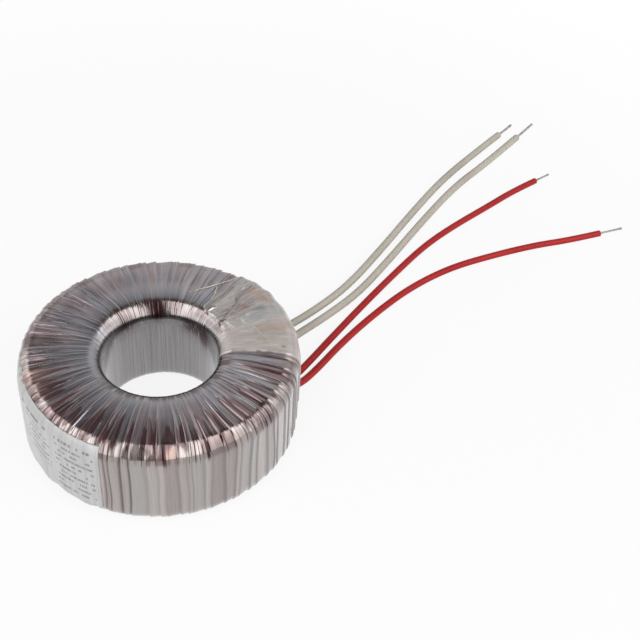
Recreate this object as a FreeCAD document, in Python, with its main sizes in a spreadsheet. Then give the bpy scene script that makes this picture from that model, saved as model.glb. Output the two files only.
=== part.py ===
import FreeCAD, Part
import math
import os
import Sketcher
from FreeCAD import Rotation, Vector

# Toroidal transformer, lying on its flat underside.
# Frame: millimetres, +Z up, origin on the underside at the middle of the hole.
# Leads leave the wall towards +X+Y and lie on the same surface as the transformer.

doc = FreeCAD.newDocument("toroidal_transformer")

# ---------------------------------------------------------------- driving sizes
# Lengths in mm, angles in degrees counted from +X towards +Y.
SIZES = [
    # whole ring, over the crests of the film
    ("outer_dia", 84.0), ("hole_dia", 34.8), ("ring_height", 31.0), ("crown", 0.6), ("lip_drop", 0.28),
    ("rim_corner", 4.3), ("foot_corner", 4.9), ("lip_corner", 4.5), ("sole_corner", 3.9),
    # film wrap: build on the wall, in the hole and on the faces
    ("wrap_wall", 1.3), ("wrap_bore", 1.3), ("wrap_face", 1.4), ("wrap_corner", 3.0),
    ("band_count", 88), ("band_unevenness", 0.7), ("pleat_depth", 0.6), ("lip_ledge", 0.06),
    # winding stack under the wrap: build on the wall, in the hole and on the faces
    ("secondary_wall", 1.5), ("secondary_bore", 2.4), ("secondary_face", 1.7),
    ("interwrap_corner", 2.4), ("interwrap_wall", 0.3), ("interwrap_bore", 0.5), ("interwrap_face", 0.4),
    ("primary_corner", 2.0), ("primary_wall", 1.1), ("primary_bore", 2.2), ("primary_face", 1.5),
    ("corewrap_corner", 0.5), ("corewrap_wall", 0.25), ("corewrap_bore", 0.4), ("corewrap_face", 0.3),
    ("cap_thickness", 0.6), ("cap_lip", 4.0), ("layer_gap", 0.04),
    # bay where the secondary winding leaves room for the leads
    ("bay_start", 2.5), ("bay_end", 46.0), ("bay_shelf", 3.6), ("bay_skin", 0.3), ("bay_rib", 1.2),
    ("winding_end_clear", 0.1), ("pad_thickness", 0.15), ("pad_margin", 1.0), ("pad_foot", 9.5),
    # leads
    ("red_dia", 2.35), ("white_dia", 2.65), ("lead_exit_height", 7.5), ("lead_clear", 0.03),
    ("exit_drop", 3.6), ("red_root_inset", 6.0), ("white_root_inset", 17.5),
    ("red_one_angle", 13.6), ("red_two_angle", 8.2), ("white_one_angle", 41.0), ("white_two_angle", 31.5),
    ("splice_dia", 2.6), ("splice_length", 7.5),
    ("strand_dia", 0.75), ("strand_one_length", 7.5), ("strand_two_length", 9.7),
    ("wire_dia", 0.95), ("wire_one_length", 10.0), ("wire_two_length", 13.0),
    # film patch over the leads and the label on the wall
    ("patch_start", -10.5), ("patch_end", 58.0), ("patch_film", 0.25), ("patch_clear", 0.1),
    ("patch_foot", 8.5),
    ("label_start", 163.0), ("label_end", 243.0), ("label_paper", 0.18), ("label_clear", 0.06),
    ("label_low", 3.2), ("label_high", 26.2),
]

sheet = doc.addObject("Spreadsheet::Sheet", "Sizes")
for row, (alias, number) in enumerate(SIZES, 1):
    sheet.set(f"A{row}", alias)
    sheet.set(f"B{row}", str(number))
    sheet.setAlias(f"B{row}", alias)
doc.recompute()


class Size:
    """A length that knows its value and the sheet expression it comes from."""

    def __init__(self, value, text):
        self.value = value
        self.text = text

    def __float__(self):
        return float(self.value)

    def _join(self, other, sign, value):
        text = other.text if isinstance(other, Size) else repr(float(other))
        return Size(value, f"({self.text} {sign} {text})")

    def __add__(self, other):
        return self._join(other, "+", self.value + float(other))

    def __sub__(self, other):
        return self._join(other, "-", self.value - float(other))

    def __mul__(self, other):
        return self._join(other, "*", self.value * float(other))

    def __truediv__(self, other):
        return self._join(other, "/", self.value / float(other))


def size(alias):
    return Size(float(sheet.get(alias)), f"Sizes.{alias}")


# ---------------------------------------------------------------- sections
class Section:
    """Rounded oblong section of a ring: radii, heights and corner radius."""

    def __init__(self, inner, outer, low, high, corner):
        self.inner = inner
        self.outer = outer
        self.low = low
        self.high = high
        self.corner = corner

    def inside(self, wall, bore, face, corner):
        return Section(self.inner + bore, self.outer - wall, self.low + face, self.high - face, corner)

    def grown(self, gap):
        corner = self.corner + gap if float(self.corner) else self.corner
        return Section(self.inner - gap, self.outer + gap, self.low - gap, self.high + gap, corner)

    def corners(self):
        return [
            (self.inner, self.low, self.corner),
            (self.outer, self.low, self.corner),
            (self.outer, self.high, self.corner),
            (self.inner, self.high, self.corner),
        ]


outer_radius = size("outer_dia") / 2
hole_radius = size("hole_dia") / 2
gap = size("layer_gap")
rim_height = size("ring_height") - size("crown")

square = Size(0.0, "0")
ground = Size(0.0, "0")

film_crest = Section(hole_radius, outer_radius, ground, rim_height, size("rim_corner"))


def layer(outside, name, corner):
    """Section of the space under a layer of the given name."""
    return outside.inside(size(f"{name}_wall"), size(f"{name}_bore"), size(f"{name}_face"), corner)


winding_hollow = layer(film_crest, "wrap", size("wrap_corner"))
secondary_section = winding_hollow.grown(gap * -1)
interwrap_hollow = layer(secondary_section, "secondary", size("interwrap_corner"))
interwrap_section = interwrap_hollow.grown(gap * -1)
primary_hollow = layer(interwrap_section, "interwrap", size("primary_corner"))
primary_section = primary_hollow.grown(gap * -1)
corewrap_hollow = layer(primary_section, "primary", size("corewrap_corner"))
corewrap_section = corewrap_hollow.grown(gap * -1)
cap_hollow = layer(corewrap_section, "corewrap", square)
cap_section = cap_hollow.grown(gap * -1)
cap_build = size("cap_thickness")
core_hollow = cap_section.inside(cap_build, cap_build, cap_build, square)
core_section = core_hollow.grown(gap * -1)


# ---------------------------------------------------------------- sketch and body helpers
def origin_plane(body, role):
    for feature in body.Origin.OriginFeatures:
        if feature.Role == role:
            return feature
    raise RuntimeError(f"{body.Name} has no {role}")


def new_body(label):
    body = doc.addObject("PartDesign::Body", label)
    body.Label = label
    return body


def section_sketch(body, name):
    """Sketch on the plane through the ring's axis: sketch X is the radius, sketch Y the height."""
    sketch = body.newObject("Sketcher::SketchObject", name)
    sketch.AttachmentSupport = (origin_plane(body, "XZ_Plane"), [""])
    sketch.MapMode = "FlatFace"
    return sketch


def bind(sketch, constraint, length):
    index = sketch.addConstraint(constraint)
    sketch.setExpression(f"Constraints[{index}]", length.text)


def corner_arc(before, corner, after, radius):
    """Start, end, centre and turning sense of the round at a corner between two square edges."""
    to_before = (before - corner).normalize()
    to_after = (after - corner).normalize()
    start = corner + to_before * radius
    end = corner + to_after * radius
    centre = corner + (to_before + to_after) * radius
    turns_left = to_before.cross(to_after).z < 0
    return start, end, centre, turns_left


def add_loop(sketch, corners):
    """Closed loop of level and upright edges; a corner is (radius, height, round)."""
    count = len(corners)
    points = [Vector(float(r), float(z), 0) for r, z, _ in corners]
    arcs = []
    for i, (_, _, round_size) in enumerate(corners):
        radius = float(round_size) if round_size else 0
        after = points[(i + 1) % count]
        arcs.append(corner_arc(points[i - 1], points[i], after, radius) if radius else None)
    lines = []
    for i in range(count):
        j = (i + 1) % count
        start = arcs[i][1] if arcs[i] else points[i]
        end = arcs[j][0] if arcs[j] else points[j]
        lines.append(sketch.addGeometry(Part.LineSegment(start, end), False))
    for i, line in enumerate(lines):
        j = (i + 1) % count
        level = abs(points[i].y - points[j].y) < abs(points[i].x - points[j].x)
        sketch.addConstraint(Sketcher.Constraint("Horizontal" if level else "Vertical", line))
        kind = "DistanceY" if level else "DistanceX"
        length = corners[i][1] if level else corners[i][0]
        bind(sketch, Sketcher.Constraint(kind, -1, 1, line, 1, float(length)), length)
    for i, arc in enumerate(arcs):
        if arc is None:
            sketch.addConstraint(Sketcher.Constraint("Coincident", lines[i - 1], 2, lines[i], 1))
            continue
        start, end, centre, turns_left = arc
        first, last = (start, end) if turns_left else (end, start)
        angle_one = math.atan2(first.y - centre.y, first.x - centre.x)
        angle_two = math.atan2(last.y - centre.y, last.x - centre.x)
        radius = corners[i][2]
        circle = Part.Circle(centre, Vector(0, 0, 1), float(radius))
        bend = sketch.addGeometry(Part.ArcOfCircle(circle, angle_one, angle_two), False)
        first_end, last_end = (1, 2) if turns_left else (2, 1)
        sketch.addConstraint(Sketcher.Constraint("Tangent", lines[i - 1], 2, bend, first_end))
        sketch.addConstraint(Sketcher.Constraint("Tangent", bend, last_end, lines[i], 1))
        bind(sketch, Sketcher.Constraint("Radius", bend, float(radius)), radius)


def revolved(label, loops, start=None, sweep=None):
    """Body turned about the ring's axis from section loops, all round or from start through sweep."""
    body = new_body(label)
    sketch = section_sketch(body, f"{label}_section")
    for corners in loops:
        add_loop(sketch, corners)
    doc.recompute()
    turn = body.newObject("PartDesign::Revolution", f"{label}_turn")
    turn.Profile = sketch
    turn.ReferenceAxis = (sketch, ["V_Axis"])
    turn.Angle = 360
    if sweep is not None:
        turn.setExpression("Angle", sweep.text)
        body.Placement = FreeCAD.Placement(Vector(0, 0, 0), Rotation(Vector(0, 0, 1), float(start)))
        body.setExpression(".Placement.Rotation.Angle", start.text)
    return body


# ---------------------------------------------------------------- core and windings
revolved("core", [core_section.corners()])


def core_cap(label, face, inner_face, lip_end):
    """Channel ring over one edge of the core, from its outer face to the ends of its two lips."""
    return revolved(label, [[
        (cap_section.inner, face, None), (cap_section.outer, face, None),
        (cap_section.outer, lip_end, None), (core_hollow.outer, lip_end, None),
        (core_hollow.outer, inner_face, None), (core_hollow.inner, inner_face, None),
        (core_hollow.inner, lip_end, None), (cap_section.inner, lip_end, None),
    ]])


core_cap("core_cap_bottom", cap_section.low, core_hollow.low, cap_section.low + size("cap_lip"))
core_cap("core_cap_top", cap_section.high, core_hollow.high, cap_section.high - size("cap_lip"))
revolved("core_wrap", [corewrap_section.corners(), cap_hollow.corners()])
revolved("primary_winding", [primary_section.corners(), corewrap_hollow.corners()])
revolved("interwinding_wrap", [interwrap_section.corners(), primary_hollow.corners()])

bay_sweep = size("bay_end") - size("bay_start")
hollow_start = size("bay_end") + size("bay_rib")
hollow_sweep = Size(360.0, "360") - bay_sweep - size("bay_rib") * 2
revolved("secondary_winding", [secondary_section.corners(), interwrap_hollow.corners()],
         hollow_start + size("winding_end_clear"), hollow_sweep - size("winding_end_clear") * 2)


# ---------------------------------------------------------------- film wrap
# The film's turns pass through the hole and over the wall. Each turn stands a little proud along
# its leading edge and tucks under the next one, with a soft pleat between.
GOLDEN = 0.6180339887
PLASTIC = 0.7548776662
SILVER = 0.4142135624
CROWN_PLACE = 0.4  # share of the way from the lip to the rim where the top is highest


def spread(index, ratio):
    """Evenly scattered share between 0 and 1 for the turn of this number."""
    return (index * ratio) % 1.0


class Row:
    """One line round the wrap: crest radius and height, the way out, and how deep the pleats go."""

    def __init__(self, centre, radius, angle, depth, fold):
        self.out_r = math.cos(math.radians(angle))
        self.out_z = math.sin(math.radians(angle))
        self.r = centre[0] + radius * self.out_r
        self.z = centre[1] + radius * self.out_z
        self.depth = depth
        self.fold = fold

    def at(self, azimuth, rise):
        """Point of this row at an azimuth, rise above the crest along the way out."""
        return spun(self.r + rise * self.out_r, self.z + rise * self.out_z, azimuth)


def spun(radius, height, azimuth):
    angle = math.radians(azimuth)
    return Vector(radius * math.cos(angle), radius * math.sin(angle), height)


def corner_rows(centre, radius, first, last, depths, folds):
    """Rows round a corner, evenly from the first angle to the last."""
    steps = len(depths) - 1
    angles = [first + (last - first) * k / steps for k in range(steps + 1)]
    return [Row(centre, radius, a, d, f) for a, d, f in zip(angles, depths, folds)]


ring_height = float(size("ring_height"))
rim = float(size("rim_corner"))
foot = float(size("foot_corner"))
lip = float(size("lip_corner"))
sole = float(size("sole_corner"))
R = float(outer_radius)
hole = float(hole_radius)
ledge = float(size("lip_ledge"))

lip_top = ring_height - float(size("lip_drop"))
lip_rows = corner_rows((hole + lip + ledge, lip_top - lip), lip, 180, 90,
                       (0.0, 0.12, 0.2, 0.25), (0.0, 0.5, 0.8, 1.0))
rim_rows = corner_rows((R - rim, float(rim_height) - rim), rim, 90, 0,
                       (1.0, 1.0, 0.85, 0.7), (1.0, 0.8, 0.4, 0.0))
foot_rows = corner_rows((R - foot, foot), foot, 0, -90,
                        (0.7, 0.7, 0.6, 0.5), (0.0, 0.3, 0.3, 0.3))
sole_rows = corner_rows((hole + sole + ledge, sole), sole, -90, -180,
                        (0.4, 0.3, 0.15, 0.0), (0.3, 0.3, 0.3, 0.0))
crown_radius = lip_rows[-1].r + CROWN_PLACE * (rim_rows[0].r - lip_rows[-1].r)
middle_row = Row((crown_radius, ring_height), 0.0, 90, 0.55, 1.0)
upper_rows = lip_rows + [middle_row] + rim_rows + foot_rows


def pleated(row, azimuth, tuck, pleat):
    """Point of a row on a turn: tuck is how far the film has gone under, pleat how deep the fold is."""
    drop = float(size("pleat_depth")) * row.depth * (tuck + pleat * row.fold)
    if abs(row.out_r) < 0.01 and row.out_z < 0:
        towards_middle = 1 if row is foot_rows[-1] else -1
        return spun(row.r - drop * towards_middle, row.z, azimuth)
    return row.at(azimuth, -drop)


def turn_angles(count, unevenness):
    """Azimuth of each turn's leading edge, and the full circle at the end."""
    widths = [1 + unevenness * (2 * spread(i, GOLDEN) - 1) for i in range(count)]
    angles = [0.0]
    for width in widths:
        angles.append(angles[-1] + width * 360 / sum(widths))
    return angles


def film_stations(rows):
    """For each turn in order, its rows of points at the leading edge, the pleat and the tucked edge."""
    count = int(float(size("band_count")))
    angles = turn_angles(count, float(size("band_unevenness")))
    stations = []
    for i in range(count):
        start, end = angles[i], angles[i + 1]
        room = min(1.0, (end - start) * count / 360)
        tuck = room * (0.45 + 0.55 * spread(i, PLASTIC))
        share = 0.2 + 0.25 * spread(i, SILVER)
        middle = start + (end - start) * share
        pleat = room * (0.55 - 0.25 * share)
        stations.append([pleated(row, start, 0.0, 0.0) for row in rows])
        stations.append([pleated(row, middle, tuck * share, pleat) for row in rows])
        stations.append([pleated(row, end, tuck, 0.0) for row in rows])
    return stations


def facet(points):
    """Flat faces over three or four corners, without the corners that coincide."""
    corners = []
    for p in points:
        if not corners or (p - corners[-1]).Length > 1e-6:
            corners.append(p)
    if len(corners) > 1 and (corners[0] - corners[-1]).Length < 1e-6:
        corners.pop()
    if len(corners) < 3:
        return []
    if len(corners) == 4:
        normal = (corners[1] - corners[0]).cross(corners[2] - corners[0])
        off = abs(normal.dot(corners[3] - corners[0])) / max(normal.Length, 1e-9)
        if off > 1e-7:
            return facet(corners[:3]) + facet([corners[0], corners[2], corners[3]])
    return [Part.Face(Part.makePolygon(corners + corners[:1]))]


def strips(stations, closed):
    """Facets between neighbouring stations, row by row."""
    faces = []
    last = len(stations) if closed else len(stations) - 1
    for i in range(last):
        one, two = stations[i], stations[(i + 1) % len(stations)]
        for k in range(len(one) - 1):
            faces += facet([one[k], two[k], two[k + 1], one[k + 1]])
    return faces


def flat_face(*loops):
    """Flat face between closed loops of points, the first one outermost."""
    wires = []
    for points in loops:
        corners = [p for i, p in enumerate(points) if (p - points[i - 1]).Length > 1e-6]
        wires.append(Part.makePolygon(corners + corners[:1]))
    return Part.makeFace(wires, "Part::FaceMakerBullseye")


def solid_from(faces):
    shell = Part.makeShell(faces)
    shell.sewShape()
    solid = Part.Solid(shell)
    if solid.Volume < 0:
        solid.reverse()
    return solid


def film_turns():
    """The wrap's outside as one closed body with the hole still filled."""
    upper = film_stations(upper_rows)
    under = film_stations(sole_rows)
    sole_ring = flat_face([s[-1] for s in upper], [s[0] for s in under])
    top_disc = flat_face([s[0] for s in upper])
    bottom_disc = flat_face([s[-1] for s in under])
    return solid_from(strips(upper, True) + strips(under, True) + [sole_ring, top_disc, bottom_disc])


def made_feature(label, shape, placement=None):
    feature = doc.addObject("Part::Feature", label)
    feature.Label = label
    feature.Shape = shape
    if placement is not None:
        feature.Placement = placement
    return feature


turns = made_feature("film_turns", film_turns())
hole_tool = doc.addObject("Part::Cylinder", "hole_tool")
hole_tool.setExpression("Radius", hole_radius.text)
hole_tool.setExpression("Height", "Sizes.ring_height * 2")
hole_tool.setExpression(".Placement.Base.z", "-Sizes.ring_height / 2")

winding_space = revolved("winding_space", [winding_hollow.corners()], hollow_start, hollow_sweep)
interwrap_space = revolved("interwrap_space", [interwrap_hollow.corners()])

bay_floor = interwrap_hollow.grown(size("bay_skin"))
bay_inner = hole_radius + size("bay_shelf")
above = size("ring_height") * 1.1
below = size("ring_height") * -0.1
beyond = outer_radius * 1.1
lead_bay = revolved("lead_bay", [[
    (bay_inner, bay_floor.high, None), (bay_floor.outer, bay_floor.high, bay_floor.corner),
    (bay_floor.outer, below, None), (beyond, below, None),
    (beyond, above, None), (bay_inner, above, None),
]], size("bay_start"), bay_sweep)

wrap_tools = doc.addObject("Part::MultiFuse", "wrap_tools")
wrap_tools.Shapes = [hole_tool, winding_space, interwrap_space, lead_bay]
outer_wrap = doc.addObject("Part::Cut", "outer_wrap")
outer_wrap.Label = "outer_wrap"
outer_wrap.Base = turns
outer_wrap.Tool = wrap_tools


# ---------------------------------------------------------------- under the film patch
root_clear = size("lead_clear")
pad_under = bay_floor.grown(root_clear)
pad_over = pad_under.grown(size("pad_thickness"))
pad_inner = bay_inner + 1
pad_foot = size("pad_foot")
revolved("lead_pad", [[
    (pad_inner, pad_under.high, None), (pad_under.outer, pad_under.high, pad_under.corner),
    (pad_under.outer, pad_foot, None), (pad_over.outer, pad_foot, None),
    (pad_over.outer, pad_over.high, pad_over.corner), (pad_inner, pad_over.high, None),
]], size("bay_start") + size("pad_margin"), bay_sweep - size("pad_margin") * 2)


def root_line(diameter):
    """Section that a held lead's centre line follows over the pad."""
    return pad_over.grown(root_clear + diameter / 2)


def bent_root(label, diameter, reach, angle):
    """Held end of a lead: out over the rim, round the corner and down the wall to where it leaves."""
    line = root_line(diameter)
    body = new_body(label)
    path = section_sketch(body, f"{label}_path")
    across = Part.LineSegment(Vector(float(reach), float(line.high), 0),
                              Vector(float(line.outer - line.corner), float(line.high), 0))
    down = Part.LineSegment(Vector(float(line.outer), float(line.high - line.corner), 0),
                            Vector(float(line.outer), float(size("lead_exit_height")), 0))
    centre = Vector(float(line.outer - line.corner), float(line.high - line.corner), 0)
    bend = Part.ArcOfCircle(Part.Circle(centre, Vector(0, 0, 1), float(line.corner)), 0, math.pi / 2)
    for edge in (across, bend, down):
        path.addGeometry(edge, False)
    path.addConstraint(Sketcher.Constraint("Horizontal", 0))
    path.addConstraint(Sketcher.Constraint("Vertical", 2))
    path.addConstraint(Sketcher.Constraint("Tangent", 0, 2, 1, 2))
    path.addConstraint(Sketcher.Constraint("Tangent", 1, 1, 2, 1))
    bind(path, Sketcher.Constraint("Radius", 1, float(line.corner)), line.corner)
    bind(path, Sketcher.Constraint("DistanceX", -1, 1, 0, 1, float(reach)), reach)
    bind(path, Sketcher.Constraint("DistanceY", -1, 1, 0, 1, float(line.high)), line.high)
    bind(path, Sketcher.Constraint("DistanceX", -1, 1, 2, 2, float(line.outer)), line.outer)
    exit_height = size("lead_exit_height")
    bind(path, Sketcher.Constraint("DistanceY", -1, 1, 2, 2, float(exit_height)), exit_height)
    section = body.newObject("Sketcher::SketchObject", f"{label}_section")
    section.AttachmentSupport = (origin_plane(body, "YZ_Plane"), [""])
    section.MapMode = "FlatFace"
    section.setExpression(".AttachmentOffset.Base.z", reach.text)
    ring = Part.Circle(Vector(0, float(line.high), 0), Vector(0, 0, 1), float(diameter) / 2)
    section.addGeometry(ring, False)
    bind(section, Sketcher.Constraint("Radius", 0, float(diameter) / 2), diameter / 2)
    section.addConstraint(Sketcher.Constraint("PointOnObject", 0, 3, -2))
    bind(section, Sketcher.Constraint("DistanceY", -1, 1, 0, 3, float(line.high)), line.high)
    doc.recompute()
    pipe = body.newObject("PartDesign::AdditivePipe", f"{label}_pipe")
    pipe.Profile = section
    pipe.Spine = (path, ["Edge1", "Edge2", "Edge3"])
    body.Placement = FreeCAD.Placement(Vector(0, 0, 0), Rotation(Vector(0, 0, 1), float(angle)))
    body.setExpression(".Placement.Rotation.Angle", angle.text)
    return body


def splice(label, reach, angle):
    """Insulated crimp that joins the winding's end to the lead, on the pad behind the held lead."""
    barrel = doc.addObject("Part::Cylinder", label)
    barrel.Label = label
    barrel.setExpression("Radius", "Sizes.splice_dia / 2")
    barrel.setExpression("Height", "Sizes.splice_length")
    height = float(pad_over.high + root_clear) + float(size("splice_dia")) / 2
    turn = Rotation(Vector(0, 0, 1), float(angle)) * Rotation(Vector(0, 1, 0), 90)
    start = spun(float(reach - size("splice_length")), height, float(angle))
    barrel.Placement = FreeCAD.Placement(start, turn)
    return barrel


red_reach = outer_radius - size("red_root_inset")
white_reach = outer_radius - size("white_root_inset")
ROOTS = [
    ("primary_lead_1", "red_dia", red_reach, "red_one_angle"),
    ("primary_lead_2", "red_dia", red_reach, "red_two_angle"),
    ("secondary_lead_1", "white_dia", white_reach, "white_one_angle"),
    ("secondary_lead_2", "white_dia", white_reach, "white_two_angle"),
]
for lead, dia, reach, angle in ROOTS:
    bent_root(f"{lead}_root", size(dia), reach, size(angle))
splice("primary_splice_1", red_reach, size("red_one_angle"))
splice("primary_splice_2", red_reach, size("red_two_angle"))


# ---------------------------------------------------------------- film patch and label
def crest_rise(diameter):
    """How far the film over a held lead stands above the wall's crest."""
    proud = root_line(diameter).outer + diameter / 2 + root_clear - outer_radius
    return max(float(size("patch_clear")), float(proud))


def even_stops(first, last, rise):
    """Fold lines at most five degrees apart from the first azimuth to the last."""
    steps = max(1, math.ceil((last - first) / 5))
    return [(first + (last - first) * k / steps, rise) for k in range(steps + 1)]


def patch_stops():
    """Azimuth and rise of each fold line of the patch, from its front edge to its back edge."""
    flat = float(size("patch_clear"))
    red = crest_rise(size("red_dia"))
    white = crest_rise(size("white_dia"))
    leads = [("red_two_angle", red), ("red_one_angle", red),
             ("white_two_angle", white), ("white_one_angle", white)]
    front = even_stops(float(size("patch_start")), float(size("bay_start")), flat)
    back = even_stops(float(size("bay_end")), float(size("patch_end")), flat)
    return front + [(float(size(alias)), rise) for alias, rise in leads] + back


def patch_film():
    """Taut sheet over the leads, from inside the lip across the top and down the wall."""
    film = float(size("patch_film"))
    foot_row = Row((R, float(size("patch_foot"))), 0.0, 0, 0.0, 0.0)
    rows = lip_rows[1:] + [middle_row] + rim_rows + [foot_row]
    stations = []
    for azimuth, rise in patch_stops():
        under = [row.at(azimuth, rise) for row in rows]
        over = [row.at(azimuth, rise + film) for row in rows]
        stations.append(over + under[::-1] + over[:1])
    ends = []
    for station in (stations[0], stations[-1]):
        half = (len(station) - 1) // 2
        for k in range(half - 1):
            ends += facet([station[k], station[k + 1], station[-3 - k], station[-2 - k]])
    return solid_from(strips(stations, False) + ends)


made_feature("lead_patch", patch_film())

label_inner = outer_radius + size("label_clear")
label_outer = label_inner + size("label_paper")
label_low = size("label_low")
label_high = size("label_high")
revolved("rating_label", [[
    (label_inner, label_low, None), (label_outer, label_low, None),
    (label_outer, label_high, None), (label_inner, label_high, None),
]], size("label_start"), size("label_end") - size("label_start"))


# ---------------------------------------------------------------- leads on the table
def route_line(points):
    """Straight runs joined by tangent arcs as large as the runs allow, and the arcs' radii."""
    edges = []
    radii = []
    start = points[0]
    for i in range(1, len(points) - 1):
        back = points[i - 1] - points[i]
        onward = points[i + 1] - points[i]
        trim = 0.45 * min(back.Length, onward.Length)
        half_turn = (math.pi - back.getAngle(onward)) / 2
        back.normalize()
        onward.normalize()
        arc_start = points[i] + back * trim
        arc_end = points[i] + onward * trim
        radius = trim / math.tan(half_turn)
        middle = (back + onward).normalize()
        crown = points[i] + middle * (radius / math.cos(half_turn) - radius)
        edges.append(Part.LineSegment(start, arc_start).toShape())
        edges.append(Part.Arc(arc_start, crown, arc_end).toShape())
        radii.append(radius)
        start = arc_end
    edges.append(Part.LineSegment(start, points[-1]).toShape())
    return Part.Wire(edges), radii


def tube(points, diameter):
    """Round solid along a route, with its length and tightest bend."""
    line, radii = route_line(points)
    circle = Part.Wire(Part.makeCircle(diameter / 2, points[0], points[1] - points[0]))
    solid = line.makePipeShell([circle], True, False)
    return solid, line.Length, radii


def exit_point(diameter, angle):
    return spun(float(root_line(diameter).outer), float(size("lead_exit_height")), float(angle))


# Each route on the table, counted from above the exit: how far along X and along Y.
RED_ONE = [
    (3.5, 3.3), (8.9, 9.3), (17.8, 19.9), (30.8, 35.0), (45.8, 51.6), (59.8, 66.2), (73.3, 76.8),
    (88.8, 87.4), (100.8, 96.0), (111.5, 102.1),
]
RED_TWO = [
    (4.2, 3.6), (10.2, 9.4), (20.0, 20.8), (33.1, 33.8), (48.6, 46.8), (65.6, 56.6), (84.6, 62.6),
    (100.6, 66.6), (114.1, 68.5), (126.6, 71.5),
]
WHITE_ONE = [
    (3.3, 3.1), (10.1, 8.0), (21.6, 15.8), (35.6, 27.7), (50.6, 46.2), (66.6, 67.3), (82.6, 87.3),
    (99.1, 103.7), (113.2, 116.9),
]
WHITE_TWO = [
    (3.9, 3.9), (10.2, 10.0), (21.6, 18.3), (35.5, 30.0), (50.0, 47.6), (67.0, 69.3), (83.5, 89.0),
    (100.5, 104.2), (116.4, 120.1),
]
LEADS = [
    ("primary_lead_1", RED_ONE, "red_dia", "red_one_angle", "strand_dia", "strand_one_length"),
    ("primary_lead_2", RED_TWO, "red_dia", "red_two_angle", "strand_dia", "strand_two_length"),
    ("secondary_lead_1", WHITE_ONE, "white_dia", "white_one_angle", "wire_dia", "wire_one_length"),
    ("secondary_lead_2", WHITE_TWO, "white_dia", "white_two_angle", "wire_dia", "wire_two_length"),
]
for lead, route, dia, angle, bare_dia, bare_length in LEADS:
    diameter = float(size(dia))
    leave = exit_point(size(dia), size(angle))
    points = [leave, leave - Vector(0, 0, float(size("exit_drop")))]
    points += [Vector(leave.x + along_x, leave.y + along_y, diameter / 2) for along_x, along_y in route]
    solid, length, radii = tube(points, diameter)
    made_feature(lead, solid)
    expected = math.pi * diameter ** 2 / 4 * length
    print(f"{lead}: length {length:.1f}, volume {solid.Volume:.1f} of {expected:.1f}, radii",
          " ".join(f"{r:.1f}" for r in radii))
    tip = doc.addObject("Part::Cylinder", f"{lead}_tip")
    tip.Label = f"{lead}_tip"
    tip.setExpression("Radius", f"Sizes.{bare_dia} / 2")
    tip.setExpression("Height", f"Sizes.{bare_length}")
    heading = points[-1] - points[-2]
    tip.Placement = FreeCAD.Placement(points[-1], Rotation(Vector(0, 0, 1), heading))


# ---------------------------------------------------------------- check and write
NODES = [
    "core", "core_cap_bottom", "core_cap_top", "core_wrap", "primary_winding", "interwinding_wrap",
    "secondary_winding", "outer_wrap", "lead_pad", "lead_patch", "rating_label",
    "primary_splice_1", "primary_splice_2",
]
NODES += [f"{lead}{part}" for lead, *_ in LEADS for part in ("_root", "", "_tip")]

doc.recompute()
for item in doc.Objects:
    if "Invalid" in item.State or "Error" in item.State:
        raise RuntimeError(f"{item.Label} did not build: {item.State}")

os.makedirs("parts", exist_ok=True)
for node in NODES:
    shape = doc.getObjectsByLabel(node)[0].Shape
    if shape.isNull() or not shape.isValid() or len(shape.Solids) != 1:
        raise RuntimeError(f"{node} is not one valid solid")
    shape.exportStep(f"parts/{node}.step")
    box = shape.optimalBoundingBox()
    print(f"{node}: {shape.Volume:.1f} mm3, {box.XMin:.2f} {box.YMin:.2f} {box.ZMin:.2f} to "
          f"{box.XMax:.2f} {box.YMax:.2f} {box.ZMax:.2f}, {len(shape.Faces)} faces")
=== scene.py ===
import math

import bpy
import numpy as np
from bpy.props import FloatProperty, FloatVectorProperty, IntProperty, PointerProperty
from mathutils import Matrix, Vector


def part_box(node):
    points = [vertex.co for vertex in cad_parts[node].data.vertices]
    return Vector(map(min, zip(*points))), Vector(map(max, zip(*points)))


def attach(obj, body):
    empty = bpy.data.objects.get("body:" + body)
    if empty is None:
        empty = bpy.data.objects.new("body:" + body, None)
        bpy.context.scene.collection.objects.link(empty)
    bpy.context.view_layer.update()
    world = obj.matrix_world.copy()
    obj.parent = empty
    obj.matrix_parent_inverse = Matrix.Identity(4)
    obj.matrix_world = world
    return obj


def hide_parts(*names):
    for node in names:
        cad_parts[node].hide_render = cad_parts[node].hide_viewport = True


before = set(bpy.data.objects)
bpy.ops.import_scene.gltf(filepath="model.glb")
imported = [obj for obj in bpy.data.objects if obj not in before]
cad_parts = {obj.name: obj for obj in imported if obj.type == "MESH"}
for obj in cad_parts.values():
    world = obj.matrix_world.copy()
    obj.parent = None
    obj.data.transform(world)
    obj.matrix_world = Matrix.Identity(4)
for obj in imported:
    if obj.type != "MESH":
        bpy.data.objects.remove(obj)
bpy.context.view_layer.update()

# Dresses the toroidal transformer: film wrap, film patch, label, leads and their bare ends,
# the parts inside, and a small light studio. Everything is in metres, +Z up, with the origin on
# the underside at the middle of the hole.

bl_info = {
    "name": "Toroidal transformer",
    "version": (1, 0, 0),
    "blender": (4, 5, 0),
    "location": "View3D > Sidebar > Transformer",
    "description": "Builds a film-wrapped toroidal transformer with its leads and a light studio",
    "category": "Add Mesh",
}

MM = 0.001
DEGREE = math.pi / 180

WRAP_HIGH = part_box("outer_wrap")[1]
PATCH_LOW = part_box("lead_patch")[0]
PAD_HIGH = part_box("lead_pad")[1]


def reach(node):
    """Least and greatest distance of a CAD node from the ring's axis."""
    radii = [math.hypot(v.co.x, v.co.y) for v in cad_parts[node].data.vertices]
    return min(radii), max(radii)


HOLE_RADIUS, RING_RADIUS = reach("outer_wrap")
PAD_INNER, PAD_OUTER = reach("lead_pad")
LABEL_OUTER = reach("rating_label")[1]

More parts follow.
